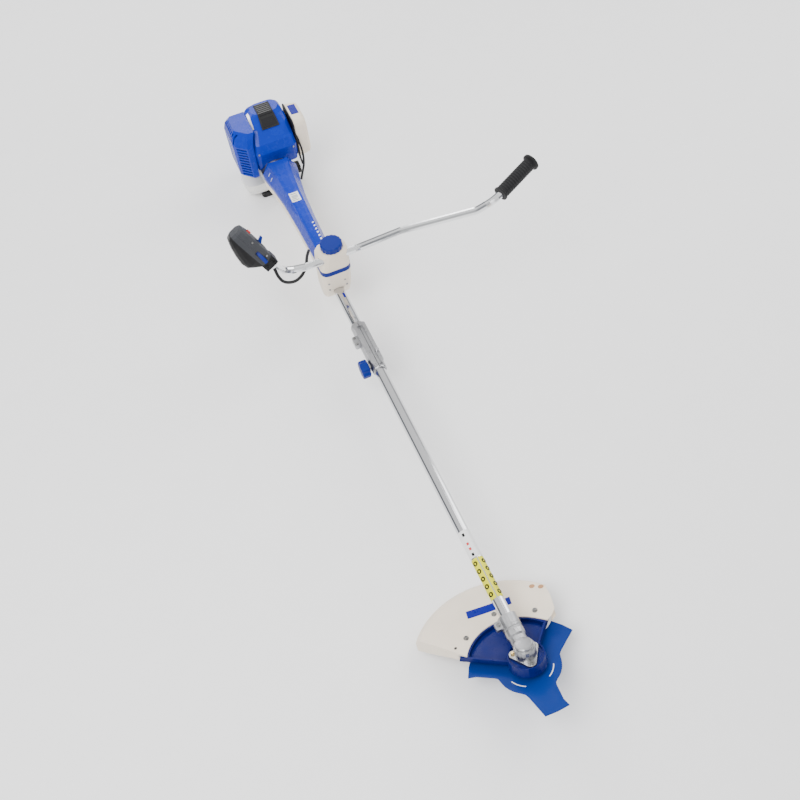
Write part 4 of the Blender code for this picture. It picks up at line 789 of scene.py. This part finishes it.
def clamp_block():
    """The black clamp at the throttle's foot, with the bosses of its screws."""
    rings = [[(x * size, y * size, z) for x, y in CLAMP_CORNERS] for size, z in CLAMP_LEVELS]
    block = piece("throttle_clamp", loft(rings), FINISH["black_plastic"], "handlebar_unit",
                  THROTTLE, 25)
    rounding = block.modifiers.new("edges", 'BEVEL')
    rounding.width = 0.0030
    rounding.segments = 3
    for index, (x, z) in enumerate(CLAMP_BOSSES):
        piece(f"clamp_boss_{index}", turned(BOSS, 24), FINISH["black_plastic"], "handlebar_unit",
              facing(THROTTLE @ Vector((x, CLAMP_FRONT, z)), -THROTTLE_Y))


CABLE_KNOTS = (
    (-0.1510, 1.0630, 0.1890), (-0.1480, 1.0540, 0.1680), (-0.1400, 1.0520, 0.1480),
    (-0.1250, 1.0590, 0.1290), (-0.1040, 1.0740, 0.1110), (-0.0800, 1.1020, 0.0960),
    (-0.0610, 1.1380, 0.0860), (-0.0470, 1.1760, 0.0740), (-0.0350, 1.2060, 0.0600),
)
CABLE_R = 0.0041


def tube_rings(points, radius):
    """Rings of a round tube whose sections turn with the line and don't twist."""
    rings = []
    side = None
    for index, point in enumerate(points):
        ahead = points[min(index + 1, len(points) - 1)] - points[max(index - 1, 0)]
        ahead.normalize()
        side = side or ahead.cross(Vector((0, 0, 1)))
        side = (side - ahead * side.dot(ahead)).normalized()
        up = ahead.cross(side)
        rings.append([point + side * x + up * y for x, y in circle(radius, 16)])
    return rings


def throttle_cable():
    """The sheathed cable, which bends where it leaves the handlebar's throttle for the arm."""
    points = smooth_route(CABLE_KNOTS, 70)
    sheath = piece("throttle_cable_sheath", loft(tube_rings(points, CABLE_R)), FINISH["rubber"],
                   None)
    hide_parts("throttle_cable")
    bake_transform(sheath)


# ---- arm -----------------------------------------------------------------------------------------
ABOVE_ARM = 0.15
LABEL_LINES = ((1.4010, -0.0110, 0.0090), (1.4070, -0.0110, 0.0030), (1.4260, -0.0110, 0.0090))
LINE_WIDTH = 0.0016
ON_LABEL = (0.0007, 0.0001)            # how far marks on the label stand off, and their thickness
DASHES = 9
DASH_START = 1.1900
DASH_PITCH = 0.0135
DASH_LENGTH = 0.0075
DASH_TAPER = 0.0004                    # each dash is this much shorter than the one before
ARM_MARKS = (1.5250, 1.5420)


def arm_print(name, x0, x1, y0, y1, rows, columns, material, stand=(0.00025, 0.00035)):
    patch(name, "arm_upper_shell", box_rows(x0, x1, y0, y1, rows, columns, ABOVE_ARM), DOWN,
          material, "frame", *stand)


def arm():
    arm_print("arm_label", -0.0145, 0.0125, 1.3960, 1.4330, 6, 5, WHITE_PRINT)
    for index, (y, x0, x1) in enumerate(LABEL_LINES):
        arm_print(f"arm_label_line_{index}", x0, x1, y, y + LINE_WIDTH, 2, 4, BLACK_PRINT,
                  ON_LABEL)
    arm_print("arm_label_box", -0.0100, 0.0085, 1.4110, 1.4220, 3, 4, GREY_PRINT, ON_LABEL)
    for index in range(DASHES):
        y = DASH_START + DASH_PITCH * index
        arm_print(f"arm_dash_{index}", 0.0086, 0.0136, y, y + DASH_LENGTH - DASH_TAPER * index,
                  2, 3, WHITE_PRINT)
    for index, y in enumerate(ARM_MARKS):
        arm_print(f"arm_mark_{index}", -0.0400, -0.0335, y, y + LINE_WIDTH, 2, 3, WHITE_PRINT)


# ---- engine ----------------------------------------------------------------------------------------
ABOVE_ENGINE = 0.25
TRIM_ROWS = 7
TRIM_START = (-0.0385, 1.6400)
TRIM_STEP = (0.0005, 0.0095)
TRIM_WIDTH = 0.0070
SLATS = 7
SLAT_REACH = 0.0190                    # half a slat's length
SLAT_WIDTH = 0.0024
SLATS_FROM = 0.0340                    # behind the insert's front edge
SLATS_SHORT = 0.0400                   # how much shorter their row is than the insert
INSERT_LIP = ((0.0030, 1.16), (0.0140, 1.05), (0.0250, 0.95))   # place and share of a slat
COVER_SCREWS = ((-0.0420, 0.0880), (0.0600, 0.0780))
ENGINE_FRONT = 1.50                    # a place along the tube before the engine


def engine():
    rows = []
    for step in range(TRIM_ROWS):
        y = TRIM_START[1] + TRIM_STEP[1] * step
        x = TRIM_START[0] + TRIM_STEP[0] * step
        rows.append([(x + offset, y, ABOVE_ENGINE) for offset in (0.0, TRIM_WIDTH / 2, TRIM_WIDTH)])
    patch("cover_trim", "engine_cover", rows, DOWN, SILVER, "frame")
    low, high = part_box("top_insert")
    middle = (low[0] + high[0]) / 2 - APEX.x
    start, end = low[1] - APEX.y, high[1] - APEX.y
    across = [middle + SLAT_REACH * k / 3 for k in range(-3, 4)]
    for index in range(SLATS):
        y = start + SLATS_FROM + (end - start - SLATS_SHORT) * index / (SLATS - 1)
        rows = [[(x, y + dy, ABOVE_ENGINE) for x in across] for dy in (0.0, SLAT_WIDTH)]
        patch(f"insert_slat_{index}", "top_insert", rows, DOWN, GLOSS_BLACK, "frame", 0.0, 0.0009)
    rows = [[(middle + (x - middle) * share, start + back, ABOVE_ENGINE) for x in across]
            for back, share in INSERT_LIP]
    patch("insert_lip", "top_insert", rows, DOWN, GLOSS_BLACK, "frame", 0.0, 0.0010)
    for index, (x, z) in enumerate(COVER_SCREWS):
        screw(f"cover_screw_{index}", "engine_cover", MACHINE @ Vector((x, ENGINE_FRONT, z)),
              (0, 1, 0), "frame", 0.0030, "cross")


# The silencer guard's slots, from the guard's left side, front, foot and crown
SLOT_LEVELS = 10
SLOTS_FROM = 0.0150
SLOT_PITCH = 0.0098
SLOT_HEIGHT = 0.0050
CORNER_AT = (0.0190, 0.0150)
CORNER_CUT = (-0.0165, 0.0165, -0.0210, 0.0190)
SIDE_CUT = (-0.0060, 0.0090)
SIDE_SPANS = ((0.0440, 0.0760), (0.0830, 0.1180))
CROWN_SLOTS = 8
CROWN_FROM = 0.0330
CROWN_PITCH = 0.0108
CROWN_WIDTH = 0.0048
CROWN_REACH = (-0.0060, 0.0240)
CROWN_DEPTHS = (-0.0340, -0.0060)
CUT_EASE = 0.0001


def guard_cutters():
    low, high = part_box("muffler_guard")
    left, front, foot = low[0] - APEX.x, low[1] - APEX.y, low[2] - APEX.z
    crown = high[2] - APEX.z
    corner = (Matrix.Translation((left + CORNER_AT[0], front + CORNER_AT[1], 0))
              @ Matrix.Rotation(math.radians(-45.0), 4, 'Z'))
    cutters = []
    for index in range(SLOT_LEVELS):
        z = foot + SLOTS_FROM + SLOT_PITCH * index
        cutters.append(moved(slab(*CORNER_CUT, z, z + SLOT_HEIGHT, CUT_EASE), corner))
        for start, end in SIDE_SPANS:
            cutters.append(slab(left + SIDE_CUT[0], left + SIDE_CUT[1], front + start, front + end,
                                z, z + SLOT_HEIGHT, CUT_EASE))
    for index in range(CROWN_SLOTS):
        y = front + CROWN_FROM + CROWN_PITCH * index
        cutters.append(slab(left + CROWN_REACH[0], left + CROWN_REACH[1], y, y + CROWN_WIDTH,
                            crown + CROWN_DEPTHS[0], crown + CROWN_DEPTHS[1], CUT_EASE))
    return cutters


def slotted_guard():
    """The silencer's guard with its air slots: round the front corner, the side and the crown."""
    knife_mesh = bpy.data.meshes.new("guard_knife")
    vertices, faces = merge(*guard_cutters())
    knife_mesh.from_pydata([tuple(MACHINE @ Vector(v)) for v in vertices], [], faces)
    knife = bpy.data.objects.new("guard_knife", knife_mesh)
    bpy.context.collection.objects.link(knife)
    work = bmesh.new()
    work.from_mesh(knife_mesh)
    bmesh.ops.recalc_face_normals(work, faces=work.faces)
    work.to_mesh(knife_mesh)
    work.free()
    blank = bpy.data.objects.new("guard_blank", NODES["muffler_guard"].data.copy())
    bpy.context.collection.objects.link(blank)
    cutting = blank.modifiers.new("slots", 'BOOLEAN')
    cutting.operation = 'DIFFERENCE'
    cutting.object = knife
    cutting.use_self = True
    bpy.context.view_layer.update()
    cut_mesh = bpy.data.meshes.new_from_object(
        blank.evaluated_get(bpy.context.evaluated_depsgraph_get()))
    for helper in (blank, knife):
        bpy.data.objects.remove(helper, do_unlink=True)
    cut_mesh.materials.clear()
    cut_mesh.materials.append(FINISH["blue_plastic"])
    shown = bpy.data.objects.new("muffler_guard_slotted", cut_mesh)
    bpy.context.collection.objects.link(shown)
    rim = shown.modifiers.new("edges", 'BEVEL')
    rim.width = 0.0007
    rim.segments = 2
    rim.limit_method = 'ANGLE'
    rim.angle_limit = SHARP_EDGE
    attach(shown, "frame")
    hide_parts("muffler_guard")


FILTER_LABEL_X = (0.0840, 0.0900, 0.0960, 0.1020, 0.1060)
FILTER_LABEL_Y = (1.6440, 1.6550, 1.6660, 1.6770, 1.6880)
INTAKE_KNOTS = ((0.0760, 1.6060, 0.1050), (0.0790, 1.6000, 0.0850), (0.0800, 1.5850, 0.0600),
                (0.0720, 1.5600, 0.0400), (0.0560, 1.5300, 0.0340), (0.0450, 1.5080, 0.0330))
INTAKE_CABLE_R = 0.0032


def intake():
    """The air filter's plain label, and the cable that runs from beside it into the arm."""
    rows = [[(x, y, ABOVE_ENGINE) for x in FILTER_LABEL_X] for y in FILTER_LABEL_Y]
    patch("filter_label", "air_filter_cover", rows, DOWN, BLUE_PRINT, "frame")
    tube_curve("intake_cable", smooth_route(INTAKE_KNOTS, 36), INTAKE_CABLE_R, FINISH["rubber"],
               "frame")


STARTER_SLOTS = 14
STARTER_SLOT = (0.0200, 0.0420, -0.0021, 0.0021, -0.0010, 0.0000, 0.0003)
STARTER_BOSS = ((0.0150, -0.0020), (0.0150, -0.0003), (0.0138, 0.0), (0.0030, 0.0))


def recoil():
    """Air slots drawn as flat dark slabs of painted shade, and a plain boss on the starter housing's
    rear face.
    """
    low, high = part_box("starter_housing")
    place = facing(Vector(((low[0] + high[0]) / 2, high[1], APEX.z)), (0, 1, 0))
    # Each slot is a flat dark slab of painted shade, sunk a millimetre into the rear face.
    for index in range(STARTER_SLOTS):
        piece(f"starter_slot_shade_{index}", slab(*STARTER_SLOT), PAINTED_SHADE, "frame",
              place @ Matrix.Rotation(2 * math.pi * index / STARTER_SLOTS, 4, 'Z'))
    piece("starter_boss", turned(STARTER_BOSS, 40), FINISH["blue_plastic"], "frame", place)


EDGE_WIDTHS = {
    "engine_cover": 0.0030,
    "arm_upper_shell": 0.0024,
    "arm_lower_shell": 0.0020,
    "bracket_cap": 0.0020,
    "bracket_base": 0.0016,
    "air_filter_cover": 0.0018,
    "fuel_tank": 0.0018,
    "tank_stand": 0.0012,
    "gearcase": 0.0008,
    "guard_skirt": 0.0007,
    "coupling_sleeve": 0.0008,
    "throttle_shell_outer": 0.0020,
    "throttle_shell_inner": 0.0016,
    "clamp_knob": 0.0008,
    "coupling_knob": 0.0010,
    "starter_housing": 0.0012,
    "top_insert": 0.0006,
    "throttle_trigger": 0.0008,
    "lockout_lever": 0.0008,
    "stop_switch": 0.0006,
}


def edges():
    for name, width in EDGE_WIDTHS.items():
        soften(name, width)


camera()
studio()
edges()
gear_head()
guard()
shaft_prints()
coupler()
bracket()
left_grip()
throttle()
clamp_block()
throttle_cable()
arm()
engine()
slotted_guard()
intake()
recoil()
